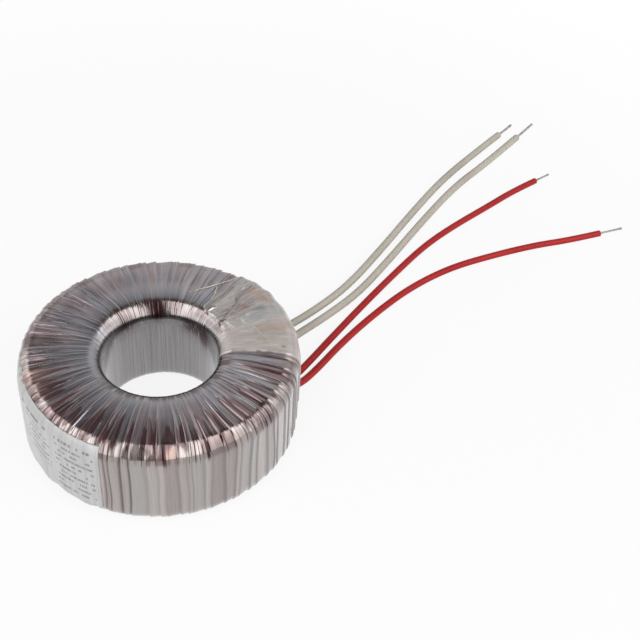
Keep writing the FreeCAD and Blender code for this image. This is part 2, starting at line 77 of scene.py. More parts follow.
# Scattered shares between 0 and 1 come from multiples of these ratios.
GOLDEN = 0.6180339887
PLASTIC = 0.7548776662
SILVER = 0.4142135624


def spread(index, ratio):
    """Evenly scattered share between 0 and 1 for each turn's number."""
    return (index * ratio) % 1.0


# ---------------------------------------------------------------- small helpers
def smooth(t):
    """Soft step from 0 to 1 as t goes from 0 to 1."""
    t = np.clip(t, 0.0, 1.0)
    return t * t * (3 - 2 * t)


def rising(values, start, over):
    """Soft step from 0 at the start to 1 once it is over."""
    return smooth((values - start) / over)


def falling(values, end, over):
    """Soft step from 1, this far before the end, to 0 at the end."""
    return smooth((end - values) / over)


def read_off(places, *pairs):
    """Values at these places, on straight lines between the (place, value) pairs."""
    return np.interp(places, *zip(*pairs))


def blended_weights(places, count, closed=True):
    """Weights that blend count evenly spaced values at places from 0 to 1."""
    spots = np.asarray(places) * (count if closed else count - 1)
    low = np.clip(np.floor(spots).astype(int), 0, count - 1 if closed else count - 2)
    share = smooth(spots - low)
    weights = np.zeros((len(spots), count))
    rows = np.arange(len(spots))
    weights[rows, low] += 1 - share
    weights[rows, (low + 1) % count] += share
    return weights


def relief(seed, around, along, places_around, places_along, closed=True):
    """Smooth random relief over a grid, in units of its own spread."""
    values = np.random.default_rng(seed).standard_normal((around, along))
    across = blended_weights(places_around, around, closed)
    down = blended_weights(places_along, along, closed)
    return across @ values @ down.T


def grid_mesh(name, points, closed_around=False, closed_along=False):
    """Mesh object over a grid of points, closed on itself where asked."""
    around, along = points.shape[:2]
    index = np.arange(around * along).reshape(around, along)
    one = index if closed_around else index[:-1]
    two = np.roll(index, -1, 0) if closed_around else index[1:]
    if closed_along:
        quads = np.stack([one, two, np.roll(two, -1, 1), np.roll(one, -1, 1)], -1)
    else:
        quads = np.stack([one[:, :-1], two[:, :-1], two[:, 1:], one[:, 1:]], -1)
    return mesh_object(name, points.reshape(-1, 3), quads.reshape(-1, 4).tolist())


def mesh_object(name, points, faces):
    """Smooth-shaded mesh object in the scene."""
    mesh = bpy.data.meshes.new(name)
    mesh.from_pydata([tuple(p) for p in points], [], faces)
    mesh.polygons.foreach_set("use_smooth", [True] * len(mesh.polygons))
    mesh.update()
    piece = bpy.data.objects.new(name, mesh)
    bpy.context.scene.collection.objects.link(piece)
    return piece


def closed_sheet(name, over, under):
    """Thin closed sheet between two grids of points, with its edges joined."""
    around, along = over.shape[:2]
    index = np.arange(around * along).reshape(around, along)
    back = index + around * along
    faces = []
    for i in range(around - 1):
        for j in range(along - 1):
            faces.append([index[i, j], index[i + 1, j], index[i + 1, j + 1], index[i, j + 1]])
            faces.append([back[i, j], back[i, j + 1], back[i + 1, j + 1], back[i + 1, j]])
    rim = list(index[:, 0]) + list(index[-1, 1:]) + list(index[-2::-1, -1]) + list(index[0, -2:0:-1])
    for a, b in zip(rim, rim[1:] + rim[:1]):
        faces.append([b, a, a + around * along, b + around * along])
    points = np.concatenate([over.reshape(-1, 3), under.reshape(-1, 3)])
    return mesh_object(name, points, [[int(k) for k in f] for f in faces])


def grid_values(one, two, three):
    """Three numbers for every point of a grid, each given for the whole grid, a row or a column."""
    return np.stack(np.broadcast_arrays(one, two, three), -1).reshape(-1, 3)


def store(piece, name, values):
    """Keeps a number or a vector for every point of a mesh, for its finish to read."""
    values = np.asarray(values, dtype=float)
    kind, field = ("FLOAT_VECTOR", "vector") if values.ndim == 2 else ("FLOAT", "value")
    layer = piece.data.attributes.new(name, kind, "POINT")
    layer.data.foreach_set(field, values.astype(np.float32).ravel())


def place(piece, node_slot, *replaced):
    """Puts a finished piece on the transformer's body in place of its CAD nodes."""
    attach(piece, "root")
    if replaced:
        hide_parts(*replaced)


# ---------------------------------------------------------------- finishes
class Graph:
    """A node tree put together a line at a time."""

    def __init__(self, tree):
        self.nodes = tree.nodes
        self.links = tree.links

    def node(self, kind, settings=None, **inputs):
        """Adds a node; its inputs, by name or by number as i0, i1, are values or other nodes' outputs."""
        made = self.nodes.new(kind)
        for key, value in (settings or {}).items():
            setattr(made, key, value)
        for key, value in inputs.items():
            numbered = key[0] == "i" and key[1:].isdigit()
            self.feed(made.inputs[int(key[1:]) if numbered else key], value)
        return made

    def feed(self, socket, value):
        if isinstance(value, bpy.types.NodeSocket):
            self.links.new(value, socket)
        else:
            socket.default_value = value

    def math(self, operation, one, two=0.5):
        return self.node("ShaderNodeMath", {"operation": operation}, i0=one, i1=two).outputs[0]

    def times(self, one, two):
        return self.math("MULTIPLY", one, two)

    def plus(self, one, two):
        return self.math("ADD", one, two)

    def minus(self, one, two):
        return self.math("SUBTRACT", one, two)

    def larger(self, one, two):
        return self.math("MAXIMUM", one, two)

    def spanned(self, value, low, high, to_low=0.0, to_high=1.0):
        """Value mapped from one range to another and held inside it."""
        return self.node("ShaderNodeMapRange", {"interpolation_type": "SMOOTHSTEP"}, i0=value, i1=low,
                         i2=high, i3=to_low, i4=to_high).outputs[0]


class Finish(Graph):
    """A material and its nodes."""

    def __init__(self, name):
        self.material = bpy.data.materials.new(name)
        self.material.use_nodes = True
        super().__init__(self.material.node_tree)
        self.shader = self.nodes["Principled BSDF"]

    def set(self, **values):
        """Sets the shader's own sockets: base_color=..., roughness=... and so on."""
        for key, value in values.items():
            self.shader.inputs[key.replace("_", " ").title().replace("Ior", "IOR")].default_value = value

    def kept(self, name, output="Fac"):
        """A number stored on the mesh, or a vector if its output is named."""
        return self.node("ShaderNodeAttribute", {"attribute_name": name}).outputs[output]

    def kept_three(self, name):
        """Three numbers stored together on the mesh."""
        return self.node("ShaderNodeSeparateXYZ", i0=self.kept(name, "Vector")).outputs[:]

    def coordinates(self, scale=(1, 1, 1), source=None):
        """Object coordinates, or a stored vector, stretched by a scale."""
        start = source or self.node("ShaderNodeTexCoord").outputs["Object"]
        return self.node("ShaderNodeMapping", i0=start, i3=scale).outputs[0]

    def noise(self, vector, scale, detail=3.0, roughness=0.55):
        return self.node("ShaderNodeTexNoise", i0=vector, Scale=scale, Detail=detail,
                         Roughness=roughness).outputs[0]

    def ramp(self, value, *stops):
        """Colour that runs through the stops, each (place, colour)."""
        made = self.node("ShaderNodeValToRGB", i0=value)
        elements = made.color_ramp.elements
        while len(elements) < len(stops):
            elements.new(0.5)
        for element, (where, colour) in zip(elements, stops):
            element.position = where
            element.color = (*colour[:3], 1.0)
        return made.outputs[0]

    def mix(self, share, one, two):
        """Colour that goes from one to two as the share goes from 0 to 1."""
        made = self.node("ShaderNodeMix", {"data_type": "RGBA"})
        colours = [c if isinstance(c, bpy.types.NodeSocket) else (*c[:3], 1.0) for c in (one, two)]
        for socket, value in zip((made.inputs[0], made.inputs[6], made.inputs[7]), (share, *colours)):
            self.feed(socket, value)
        return made.outputs[2]

    def bump(self, height, distance, strength=1.0, before=None):
        made = self.node("ShaderNodeBump", Height=height, Distance=distance, Strength=strength)
        if before is not None:
            self.links.new(before, made.inputs["Normal"])
        return made.outputs[0]

    def colour(self, value):
        self.links.new(value, self.shader.inputs["Base Color"])

    def rough(self, value):
        self.links.new(value, self.shader.inputs["Roughness"])

    def bumped(self, value):
        self.links.new(value, self.shader.inputs["Normal"])


def film_wall_and_top(f, sizes, silk, broad, wedge):
    """Colour of the film: rosy and beige bands on the wall, blue-grey on the top, and maroon folds there,
    partly copper and partly painted dark reflection.
    """
    tone = f.kept("film_tone")
    on_top = f.kept_three("film_zones")[0]
    reach_out = f.kept_three("film_folds")[0]
    wall_mix = f.plus(f.times(tone, 0.7), f.times(silk, 0.3))
    wall = f.ramp(wall_mix, (0.20, sizes.wall_dusk), (0.40, sizes.wall_rose), (0.62, sizes.wall_green),
                  (0.80, sizes.wall_beige))
    top_mix = f.plus(f.times(tone, 0.3), f.times(silk, 0.7))
    top = f.ramp(top_mix, (0.30, sizes.top_mauve), (0.46, sizes.top_blue), (0.60, sizes.top_rose),
                 (0.74, sizes.top_grey))
    calm = f.larger(f.spanned(reach_out, 0.0, 0.45, 0.75, 0.0), f.spanned(broad, 0.5, 0.7, 0.0, 0.5))
    top = f.mix(wedge, f.mix(calm, top, sizes.top_blue), sizes.top_maroon)
    return f.mix(on_top, wall, top)


def film_rim(f, sizes, silk):
    """Colour of the film where it lies doubled over the rim and the lip."""
    mixed = f.plus(f.times(f.kept("film_tone"), 0.5), f.times(silk, 0.5))
    return f.ramp(mixed, (0.30, sizes.rim_mauve), (0.42, sizes.rim_cream), (0.60, sizes.rim_cream),
                  (0.72, sizes.rim_mauve))


def film_finish(sizes):
    """Stacked clear film over copper: it mirrors dimly, in silky streaks and wedges along the turns."""
    f = Finish("wrap_film")
    f.set(metallic=0.9, coat_roughness=0.07, coat_ior=1.8)
    where = f.kept("film_place", "Vector")
    tucked = f.kept("film_tuck_shade")
    _, in_bore, on_rim = f.kept_three("film_zones")
    reach_out, drawn, lively = f.kept_three("film_folds")
    copper, dusk, lip_front_shade = f.kept_three("film_copper_and_shade")
    down_rim, pinched, lip_light_share = f.kept_three("film_rims")
    broad = f.noise(f.coordinates((1, 1, 0.05), where), 0.16, 3.0, 0.6)
    silk = f.noise(f.coordinates((1, 1, 0.035), where), 0.55, 4.0, 0.62)
    folds = f.noise(f.coordinates((1, 1, 0.012), where), 0.5, 2.0, 0.5)
    fine = f.noise(f.coordinates((1, 1, 0.02), where), 2.2, 3.0, 0.6)
    pinch = f.noise(f.coordinates((1, 1, 0.015), where), 0.42, 1.0, 0.4)

    # Dark wedges that open outward on the top, and folds that run down over the rim: the copper's maroon
    # under the folds with a painted dark reflection, drawn stronger on the front.
    start = f.spanned(reach_out, 0.1, 1.0, 0.72, 0.44)
    wedge = f.times(f.spanned(f.minus(folds, start), 0.0, 0.05), drawn)
    drip = f.spanned(f.minus(folds, f.times(down_rim, 0.2)), 0.44, 0.49)
    drip = f.times(f.times(drip, on_rim), drawn)

    colour = film_wall_and_top(f, sizes, silk, broad, wedge)
    colour = f.mix(drip, f.mix(on_rim, colour, film_rim(f, sizes, silk)), sizes.rim_fold_shade)
    bore = f.mix(f.spanned(fine, 0.40, 0.62), sizes.bore_grey, sizes.bore_shade)
    colour = f.mix(f.times(in_bore, 0.9), colour, bore)
    copper = f.times(copper, f.spanned(silk, 0.35, 0.6, 0.5, 1.0))
    colour = f.mix(copper, colour, sizes.film_copper)
    # Painted shade on the front of the lip.
    colour = f.mix(lip_front_shade, colour, sizes.lip_shade)
    # Painted light on the sides under the lip, over the dark ring that the hole reflects there.
    colour = f.mix(lip_light_share, colour, sizes.under_lip_light)

    # Painted shade at the tucked edges and in the sharp creases, a painted dark reflection in the hole, and
    # fine dark lines; all of them also lose the gloss.
    # Painted dark reflection in the hole under the lip.
    reflected_dark = f.times(dusk, f.spanned(silk, 0.30, 0.44))
    lines = f.times(f.spanned(fine, 0.56, 0.68), f.spanned(on_rim, 0.0, 0.9, 0.25, 0.6))
    # Painted shade along the sharp creases.
    crease_shade = f.math("ABSOLUTE", f.minus(pinch, 0.5))
    crease_shade = f.times(f.spanned(crease_shade, 0.006, 0.03, 1.0, 0.0), pinched)
    dark = f.larger(f.larger(f.times(tucked, 0.8), lines), f.larger(reflected_dark, crease_shade))
    f.colour(f.mix(dark, colour, sizes.painted_shade))
    dull = f.larger(dark, f.times(drip, 0.8))
    f.feed(f.shader.inputs["Coat Weight"], f.spanned(dull, 0.35, 0.95, 1.0, 0.12))
    f.rough(f.spanned(silk, 0.3, 0.7, 0.2, 0.32))

    height = f.minus(f.plus(silk, f.times(fine, 0.1)), f.times(wedge, 0.2))
    normal = f.bump(f.times(height, lively), 0.00025, 0.6)
    f.links.new(normal, f.shader.inputs["Coat Normal"])
    f.bumped(normal)
    return f.material


def patch_finish(sizes):
    """Milky film, clouded beige and blue-grey, with folds in painted shade, painted glints, stains and faint
    scratches.
    """
    f = Finish("patch_film")
    f.set(metallic=0.35, coat_weight=0.6, coat_roughness=0.1)
    where = f.kept("patch_place", "Vector")
    dark, warm, cool = f.kept_three("patch_shade_and_stains")
    pale, filmy, _ = f.kept_three("patch_look")
    cloud = f.noise(f.coordinates((1, 0.35, 1), where), 0.35, 3.0, 0.5)
    drawn = f.noise(f.coordinates((1, 0.10, 1), where), 0.9, 4.0, 0.6)
    scratch = f.noise(f.coordinates((1, 0.04, 1), where), 5.0, 2.0, 0.5)
    mixed = f.plus(f.times(cloud, 0.6), f.times(drawn, 0.4))
    colour = f.ramp(mixed, (0.36, sizes.patch_blue), (0.5, sizes.patch_beige), (0.64, sizes.patch_pale))
    murk = f.ramp(drawn, (0.34, sizes.murk_brown), (0.48, sizes.murk_grey), (0.64, sizes.patch_blue))
    colour = f.mix(filmy, colour, murk)
    warm = f.times(warm, f.spanned(drawn, 0.3, 0.6, 0.5, 1.0))
    colour = f.mix(warm, colour, sizes.patch_copper)
    colour = f.mix(cool, colour, sizes.patch_teal)
    # Painted shade in the folds and along the front edge, with a few stains.
    colour = f.mix(dark, colour, sizes.painted_shade)
    # Painted glints on the creased film.
    f.colour(f.mix(pale, colour, sizes.patch_white))
    f.rough(f.spanned(cloud, 0.3, 0.7, 0.2, 0.32))
    f.bumped(f.bump(scratch, 0.00005, 0.4, f.bump(drawn, 0.0003, 0.3)))
    return f.material


def rubber_finish(name, base, shade, roughness):
    """Lead insulation: soft plastic with slight handling marks."""
    f = Finish(name)
    f.set(specular_ior_level=0.25)
    grain = f.noise(f.coordinates(), 900.0, 3.0)
    marks = f.noise(f.coordinates(), 45.0, 3.0, 0.5)
    f.colour(f.mix(f.spanned(marks, 0.42, 0.72), base, shade))
    f.rough(f.spanned(marks, 0.3, 0.7, roughness, roughness + 0.12))
    f.bumped(f.bump(grain, 0.00001, 0.06, f.bump(marks, 0.0001, 0.15)))
    return f.material


def metal_finish(name, bright, dull, roughness):
    """Bare metal with a slightly uneven skin."""
    f = Finish(name)
    f.set(metallic=1.0)
    skin = f.noise(f.coordinates(), 600.0, 4.0, 0.6)
    f.colour(f.mix(f.spanned(skin, 0.4, 0.7), bright, dull))
    f.rough(f.spanned(skin, 0.3, 0.7, roughness, roughness + 0.18))
    f.bumped(f.bump(skin, 0.00005, 0.4))
    return f.material


def paper_finish(name, base, shade):
    """Fibrous board, tape or paper."""
    f = Finish(name)
    fibre = f.noise(f.coordinates((1, 1, 0.4)), 500.0, 5.0, 0.65)
    f.colour(f.mix(f.spanned(fibre, 0.35, 0.7), base, shade))
    f.rough(f.spanned(fibre, 0.3, 0.7, 0.55, 0.8))
    f.bumped(f.bump(fibre, 0.00006, 0.4))
    return f.material


def winding_finish(name, base, shade):
    """Enamelled copper wire laid side by side round the ring."""
    f = Finish(name)
    f.set(metallic=1.0, coat_weight=0.5, coat_roughness=0.1)
    split = f.node("ShaderNodeSeparateXYZ", i0=f.node("ShaderNodeTexCoord").outputs["Object"])
    angle = f.math("ARCTAN2", split.outputs[1], split.outputs[0])
    wires_round = 180.0
    wires = f.math("SINE", f.times(angle, wires_round))
    f.colour(f.mix(f.spanned(wires, -1.0, 0.2), shade, base))
    f.rough(f.spanned(f.noise(f.coordinates(), 300.0), 0.3, 0.7, 0.22, 0.36))
    f.bumped(f.bump(wires, 0.0003, 0.8))
    return f.material


def label_finish(sizes):
    """Pale paper under clear tape, with plain bars for print."""
    f = Finish("label_paper")
    f.set(coat_weight=0.3, coat_roughness=0.12)
    where = f.kept("label_place", "Vector")
    in_block = f.kept("label_print")
    wave = f.noise(f.coordinates((1, 0.05, 1), where), 0.5, 3.0)
    across, up, _ = f.node("ShaderNodeSeparateXYZ", i0=where).outputs[:]
    row = f.math("DIVIDE", up, sizes.print_pitch / MM)
    half_bar, row_step = 0.2, 7.3
    in_row = f.math("LESS_THAN", f.math("ABSOLUTE", f.minus(f.math("FRACT", row), 0.5)), half_bar)
    row_shift = f.times(f.math("FLOOR", row), row_step)
    line = f.node("ShaderNodeCombineXYZ", i0=across, i1=row_shift).outputs[0]
    words = f.spanned(f.noise(line, 0.45, 1.0), 0.44, 0.47)
    marks = f.spanned(f.noise(line, 2.6, 2.0), 0.40, 0.50)
    ink = f.times(f.times(in_row, in_block), f.times(words, marks))
    colour = f.mix(f.spanned(wave, 0.35, 0.7), sizes.label_paper, sizes.label_shade)
    f.colour(f.mix(f.times(ink, 0.75), colour, sizes.label_ink))
    f.rough(f.spanned(wave, 0.3, 0.7, 0.3, 0.42))
    f.bumped(f.bump(wave, 0.0004, 0.3))
    return f.material


# ---------------------------------------------------------------- settings
def length(name, description, default):
    return FloatProperty(name=name, description=description, default=default, unit="LENGTH", precision=5)


def turned(name, description, degrees):
    return FloatProperty(name=name, description=description, default=degrees * DEGREE, unit="ROTATION")


def tint(name, description, *rgb):
    return FloatVectorProperty(name=name, description=description, default=rgb, size=3, subtype="COLOR",
                               min=0.0, max=1.0)


class FilmSettings(bpy.types.PropertyGroup):
    turns: IntProperty(name="Turns", description="Turns of film round the ring", default=88, min=8)
    unevenness: FloatProperty(name="Unevenness", description="How much the turns differ in width",
                              default=0.7, subtype="FACTOR")
    pleat_depth: length("Pleat depth", "Greatest drop of a turn below its crest", 0.6 * MM)
    lip_round: length("Lip round", "Round where the top meets the hole", 4.9 * MM)
    rim_round: length("Rim round", "Round where the top meets the wall", 5.0 * MM)
    rim_tall: FloatProperty(name="Rim tallness", description="Height of the rim's round to its width",
                            default=1.25, min=0.5)
    foot_round: length("Foot round", "Round where the wall meets the underside", 4.9 * MM)
    sole_round: length("Sole round", "Round where the underside meets the hole", 3.9 * MM)
    lip_height: length("Lip height", "Height of the top beside the hole", 30.72 * MM)
    rim_height: length("Rim height", "Height of the top beside the wall", 30.38 * MM)
    bay_start: turned("Bay start", "Where the film is cut away for the leads", 2.5)
    bay_end: turned("Bay end", "Where the cut for the leads ends", 46.0)
    wrinkle: length("Wrinkle", "Height of the film's small wrinkles", 0.02 * MM)
    wall_dusk: tint("Wall dusk", "Shaded film on the wall", 0.25, 0.205, 0.20)
    wall_rose: tint("Wall rose", "Rosy film on the wall", 0.35, 0.30, 0.285)
    wall_green: tint("Wall green", "Greenish grey film on the wall", 0.315, 0.30, 0.29)
    wall_beige: tint("Wall beige", "Beige film on the wall", 0.40, 0.35, 0.33)
    # Maroon of the copper under the folds, darkened as a painted dark reflection.
    top_maroon: tint("Top maroon", "Deep maroon film on the top", 0.122, 0.052, 0.056)
    top_mauve: tint("Top mauve", "Mauve film on the top", 0.255, 0.185, 0.195)
    top_blue: tint("Top blue", "Blue-grey film on the top", 0.225, 0.225, 0.255)
    top_rose: tint("Top rose", "Rose film on the top", 0.284, 0.216, 0.225)
    top_grey: tint("Top grey", "Pale grey film on the top", 0.335, 0.31, 0.325)
    rim_mauve: tint("Rim mauve", "Doubled film over the rim", 0.16, 0.105, 0.10)
    # Maroon under the folds over the rim, darkened as a painted dark reflection.
    rim_fold_shade: tint("Rim drip", "Dark folds that run down over the rim", 0.055, 0.02, 0.023)
    # Colour of the painted light under the lip at the sides.
    under_lip_light: tint("Lip pale", "Sheltered film under the lip", 0.55, 0.53, 0.53)
    rim_cream: tint("Rim cream", "Film over the rim", 0.33, 0.285, 0.265)
    bore_grey: tint("Bore grey", "Film in the hole", 0.23, 0.22, 0.225)
    bore_shade: tint("Bore shade", "Streaks in the hole", 0.135, 0.125, 0.135)
    film_copper: tint("Film copper", "Copper seen through the film", 0.27, 0.13, 0.085)
    # Colour of the painted shade on the front of the lip.
    lip_shade: tint("Lip shade", "Front of the lip", 0.10, 0.10, 0.115)
    # Colour of the painted shade at tucked edges and creases, and of the painted dark reflection in the
    # hole.
    painted_shade: tint("Film deep", "Film tucked under the next turn", 0.045, 0.018, 0.02)


class PatchSettings(bpy.types.PropertyGroup):
    start: turned("Start", "Front edge of the patch", -10.5)
    end: turned("End", "Back edge of the patch", 50.0)
    film: length("Film", "Thickness of the patch", 0.25 * MM)
    clear: length("Clearance", "Gap between the patch and the film's crest", 0.1 * MM)
    patch_blue: tint("Patch blue", "Cool parts of the patch", 0.36, 0.355, 0.36)
    patch_beige: tint("Patch beige", "Warm parts of the patch", 0.45, 0.395, 0.37)
    patch_pale: tint("Patch pale", "Pale parts of the patch", 0.50, 0.47, 0.455)
    patch_copper: tint("Patch copper", "Winding seen through the patch", 0.40, 0.25, 0.18)
    patch_teal: tint("Patch teal", "Cool stains in the patch", 0.25, 0.30, 0.30)
    patch_white: tint("Patch white", "Glints of creased film", 0.75, 0.72, 0.70)
    murk_grey: tint("Murk grey", "Film where the patch is loose", 0.29, 0.265, 0.265)
    murk_brown: tint("Murk brown", "Folds where the patch is loose", 0.17, 0.12, 0.11)
    painted_shade: tint("Patch shade", "Dark folds of the patch", 0.05, 0.03, 0.03)
    fibre: tint("Fibre", "Loose fibres stuck to the film", 0.62, 0.60, 0.46)


class LabelSettings(bpy.types.PropertyGroup):
    start: turned("Start", "First edge of the label", 163.0)
    end: turned("End", "Last edge of the label", 243.5)
    low: length("Low edge", "Height of the label's low edge", 3.7 * MM)
    high: length("High edge", "Height of the label's high edge", 28.9 * MM)
    print_pitch: length("Print pitch", "Distance between rows of print", 2.1 * MM)
    label_paper: tint("Paper", "Label paper", 0.46, 0.455, 0.455)
    label_shade: tint("Paper shade", "Label paper where the tape is slack", 0.39, 0.385, 0.385)
    label_ink: tint("Ink", "Print on the label", 0.08, 0.08, 0.09)


class LeadSettings(bpy.types.PropertyGroup):
    red_diameter: length("Red lead", "Diameter of the primary leads", 2.35 * MM)
    beige_diameter: length("Beige lead", "Diameter of the secondary leads", 2.65 * MM)
    strand_diameter: length("Strand", "Diameter of a primary lead's twisted bare end", 0.75 * MM)
    wire_diameter: length("Wire", "Diameter of a secondary lead's bare wire", 0.95 * MM)
    exit_height: length("Exit height", "Height where the leads leave the wall", 7.5 * MM)
    exit_drop: length("Exit drop", "Drop of a lead before it turns outward", 3.6 * MM)
    red: tint("Red", "Primary lead insulation", 0.345, 0.008, 0.009)
    red_shade: tint("Red shade", "Darker red", 0.29, 0.0065, 0.0075)
    beige: tint("Beige", "Secondary lead sleeve", 0.465, 0.432, 0.372)
    beige_shade: tint("Beige shade", "Darker beige", 0.41, 0.38, 0.32)
    tin: tint("Tin", "Tinned wire", 0.36, 0.35, 0.34)
    tin_shade: tint("Tin shade", "Dull tin", 0.20, 0.19, 0.18)


class StudioSettings(bpy.types.PropertyGroup):
    lamp_radiance: FloatProperty(name="Softbox brightness", description="Radiance of each softbox",
                                 default=2.6, min=0.0)
    ambient: FloatProperty(name="Ambient", description="Light from all round", default=0.4, min=0.0)
    gloom: FloatProperty(name="Ceiling", description="Brightness of the studio's dark ceiling in gloss",
                         default=0.12, min=0.0)
    gap_azimuth: turned("Gap azimuth", "Where the dark gap between the bright panels stands", 262.0)
    gap_share: FloatProperty(name="Gap width", default=0.31, min=0.0, max=1.0,
                             description="Half width of the gap as a share of its distance")
    panel_gloss: FloatProperty(name="Panel gloss", description="Brightness of each panel in gloss",
                               default=3.3, min=0.0)
    floor: tint("Floor", "Floor under the transformer", 0.82, 0.82, 0.82)


# ---------------------------------------------------------------- camera
class TRANSFORMER_OT_camera(bpy.types.Operator):
    """Makes the camera in front of the ring, looking down on it"""
    bl_idname = "transformer.camera"
    bl_label = "Camera"

    def execute(self, context):
        data = bpy.data.cameras.new("camera")
        data.lens = 68.83
        data.sensor_width = 36.0
        data.clip_start = 0.01
        data.clip_end = 20.0
        camera = bpy.data.objects.new("camera", data)
        context.scene.collection.objects.link(camera)
        stand = Vector((0, -0.2638, 0.2867))
        right = Vector((0.98956888, -0.13642125, 0.04628897))
        up = Vector((0.05941667, 0.67921118, 0.73153389))
        forward = Vector((0.13123675, 0.72115284, -0.68023195))
        turn = Matrix((right, up, -forward)).transposed()
        camera.matrix_world = Matrix.Translation(stand) @ turn.to_4x4()
        context.scene.camera = camera
        return {"FINISHED"}


# ---------------------------------------------------------------- leads
class Lead:
    """One lead: where it leaves the ring, its way over the table and its bare end."""

    def __init__(self, name, red, exit_radius, exit_angle, real_length, bare_length, route):
        self.name = name
        self.red = red
        self.exit_radius = exit_radius * MM
        self.exit_angle = exit_angle * DEGREE
        self.length = real_length * MM
        self.bare_length = bare_length * MM
        self.route = route

    def diameter(self, sizes):
        return sizes.red_diameter if self.red else sizes.beige_diameter

    def exit(self, sizes):
        """Where the film lets go of the lead."""
        x = self.exit_radius * math.cos(self.exit_angle)
        y = self.exit_radius * math.sin(self.exit_angle)
        return Vector((x, y, sizes.exit_height))

    def points(self, sizes):
        """The lead's middle line: out of the film, down, and over the table."""
        leave = self.exit(sizes)
        down = leave - Vector((0, 0, sizes.exit_drop))
        height = self.diameter(sizes) / 2
        lying = [Vector((leave.x + x * MM, leave.y + y * MM, height)) for x, y in self.route]
        return [leave, down] + lying


# Each route on the table is counted in millimetres from above the lead's exit.
LEADS = [
    Lead("primary_lead_1", True, 40.845, 13.6, 156.1, 7.5, [
        (3.5, 3.3), (8.9, 9.3), (17.8, 19.9), (30.8, 35.0), (45.8, 51.6), (59.8, 66.2), (73.3, 76.8),
        (88.8, 87.4), (100.8, 96.0), (111.5, 102.1)]),
    Lead("primary_lead_2", True, 40.845, 8.2, 153.7, 9.7, [
        (4.2, 3.6), (10.2, 9.4), (20.0, 20.8), (33.1, 33.8), (48.6, 46.8), (65.6, 56.6), (84.6, 62.6),
        (100.6, 66.6), (114.1, 68.5), (126.6, 71.5)]),
    Lead("secondary_lead_1", False, 40.995, 41.0, 167.4, 10.0, [
        (3.3, 3.1), (10.1, 8.0), (21.6, 15.8), (35.6, 27.7), (50.6, 46.2), (66.6, 67.3), (82.6, 87.3),
        (99.1, 103.7), (113.2, 116.9)]),
    Lead("secondary_lead_2", False, 40.995, 31.5, 171.6, 13.0, [
        (3.9, 3.9), (10.2, 10.0), (21.6, 18.3), (35.5, 30.0), (50.0, 47.6), (67.0, 69.3), (83.5, 89.0),
        (100.5, 104.2), (116.4, 120.1)]),
]


def tube_points(line, radii, sides):
    """Rings of points round a line of points."""
    line = np.asarray(line)
    ahead = np.gradient(line, axis=0)
    ahead /= np.linalg.norm(ahead, axis=1)[:, None]
    side = np.cross(ahead, (0, 0, 1.0))
    side /= np.linalg.norm(side, axis=1)[:, None]
    up = np.cross(side, ahead)
    angles = np.arange(sides) * 2 * math.pi / sides
    ring = side[:, None] * np.cos(angles)[:, None] + up[:, None] * np.sin(angles)[:, None]
    return line[:, None] + ring * np.asarray(radii)[:, None, None]


def capped_tube(line, radii, sides):
    """Points and faces of a closed tube."""
    rings = tube_points(line, radii, sides)
    count = len(rings)
    points = np.concatenate([rings.reshape(-1, 3), [line[0], line[-1]]])
    faces = []
    for i in range(count - 1):
        for j in range(sides):
            k = (j + 1) % sides
            faces.append([i * sides + j, i * sides + k, (i + 1) * sides + k, (i + 1) * sides + j])
    for j in range(sides):
        k = (j + 1) % sides
        faces.append([count * sides, k, j])
        faces.append([count * sides + 1, (count - 1) * sides + j, (count - 1) * sides + k])
    return points, faces


def joined_tubes(name, tubes):
    """One mesh object from several closed tubes."""
    points, faces = [], []
    for tube, quads in tubes:
        base = sum(len(p) for p in points)
        points.append(tube)
        faces += [[base + k for k in f] for f in quads]
    return mesh_object(name, np.concatenate(points), faces)


BARE_SAMPLES = 60
STRANDS = 7
TWIST_PITCH = 2.6 * MM


def stiff_wire(lead, sizes, axis, shares, side):
    """One tinned wire, a little uneven, with a rounded end."""
    wobble = np.sin(shares * 4.0) * 0.06 * MM
    radii = np.full(BARE_SAMPLES, sizes.wire_diameter / 2) * (1 + 0.03 * np.sin(shares * 31))
    radii[-1] *= 0.55
    radii[-2] *= 0.9
    return joined_tubes(f"{lead.name}_wire", [capped_tube(axis + np.outer(wobble, side), radii, 16)])


def strand_twist(lead, sizes, axis, shares, side):
    """Six fine strands twisted round one, frayed a little at the end."""
    thin = sizes.strand_diameter / 6
    tubes = []
    for k in range(STRANDS):
        out = 0.0 if k == 0 else sizes.strand_diameter / 2 - thin
        angles = shares * lead.bare_length / TWIST_PITCH * 2 * math.pi + k * math.pi / 3
        fray = 1 + 0.35 * smooth((shares - 0.8) * 5) * (1 if k % 2 else 0.3)
        line = axis + np.outer(np.cos(angles) * out * fray, side)
        line[:, 2] += np.sin(angles) * out * fray
        tubes.append(capped_tube(line, np.full(BARE_SAMPLES, thin), 8))
    return joined_tubes(f"{lead.name}_strands", tubes)


def bare_end(lead, sizes):
    """The bare end of a lead, which starts a little inside its insulation."""
    points = lead.points(sizes)
    start, ahead = points[-1], (points[-1] - points[-2]).normalized()
    side = ahead.cross(Vector((0, 0, 1))).normalized()
    inset = 1.0 * MM
    shares = np.linspace(0, 1, BARE_SAMPLES)
    axis = np.array([start + ahead * (s * (lead.bare_length + inset) - inset) for s in shares])
    kind = strand_twist if lead.red else stiff_wire
    return kind(lead, sizes, axis, shares, side)


def cord_curve(name, points, diameter):
    """Round cord along a smooth curve through the lead's points."""
    curve = bpy.data.curves.new(name, "CURVE")
    curve.dimensions = "3D"
    curve.bevel_depth = diameter / 2
    curve.bevel_resolution = 5
    curve.resolution_u = 24
    curve.use_fill_caps = True
    spline = curve.splines.new("NURBS")
    spline.points.add(len(points) - 1)
    for point, co in zip(spline.points, points):
        point.co = (*co, 1.0)
    spline.order_u = 3
    spline.use_endpoint_u = True
    cord = bpy.data.objects.new(name, curve)
    bpy.context.scene.collection.objects.link(cord)
    return cord


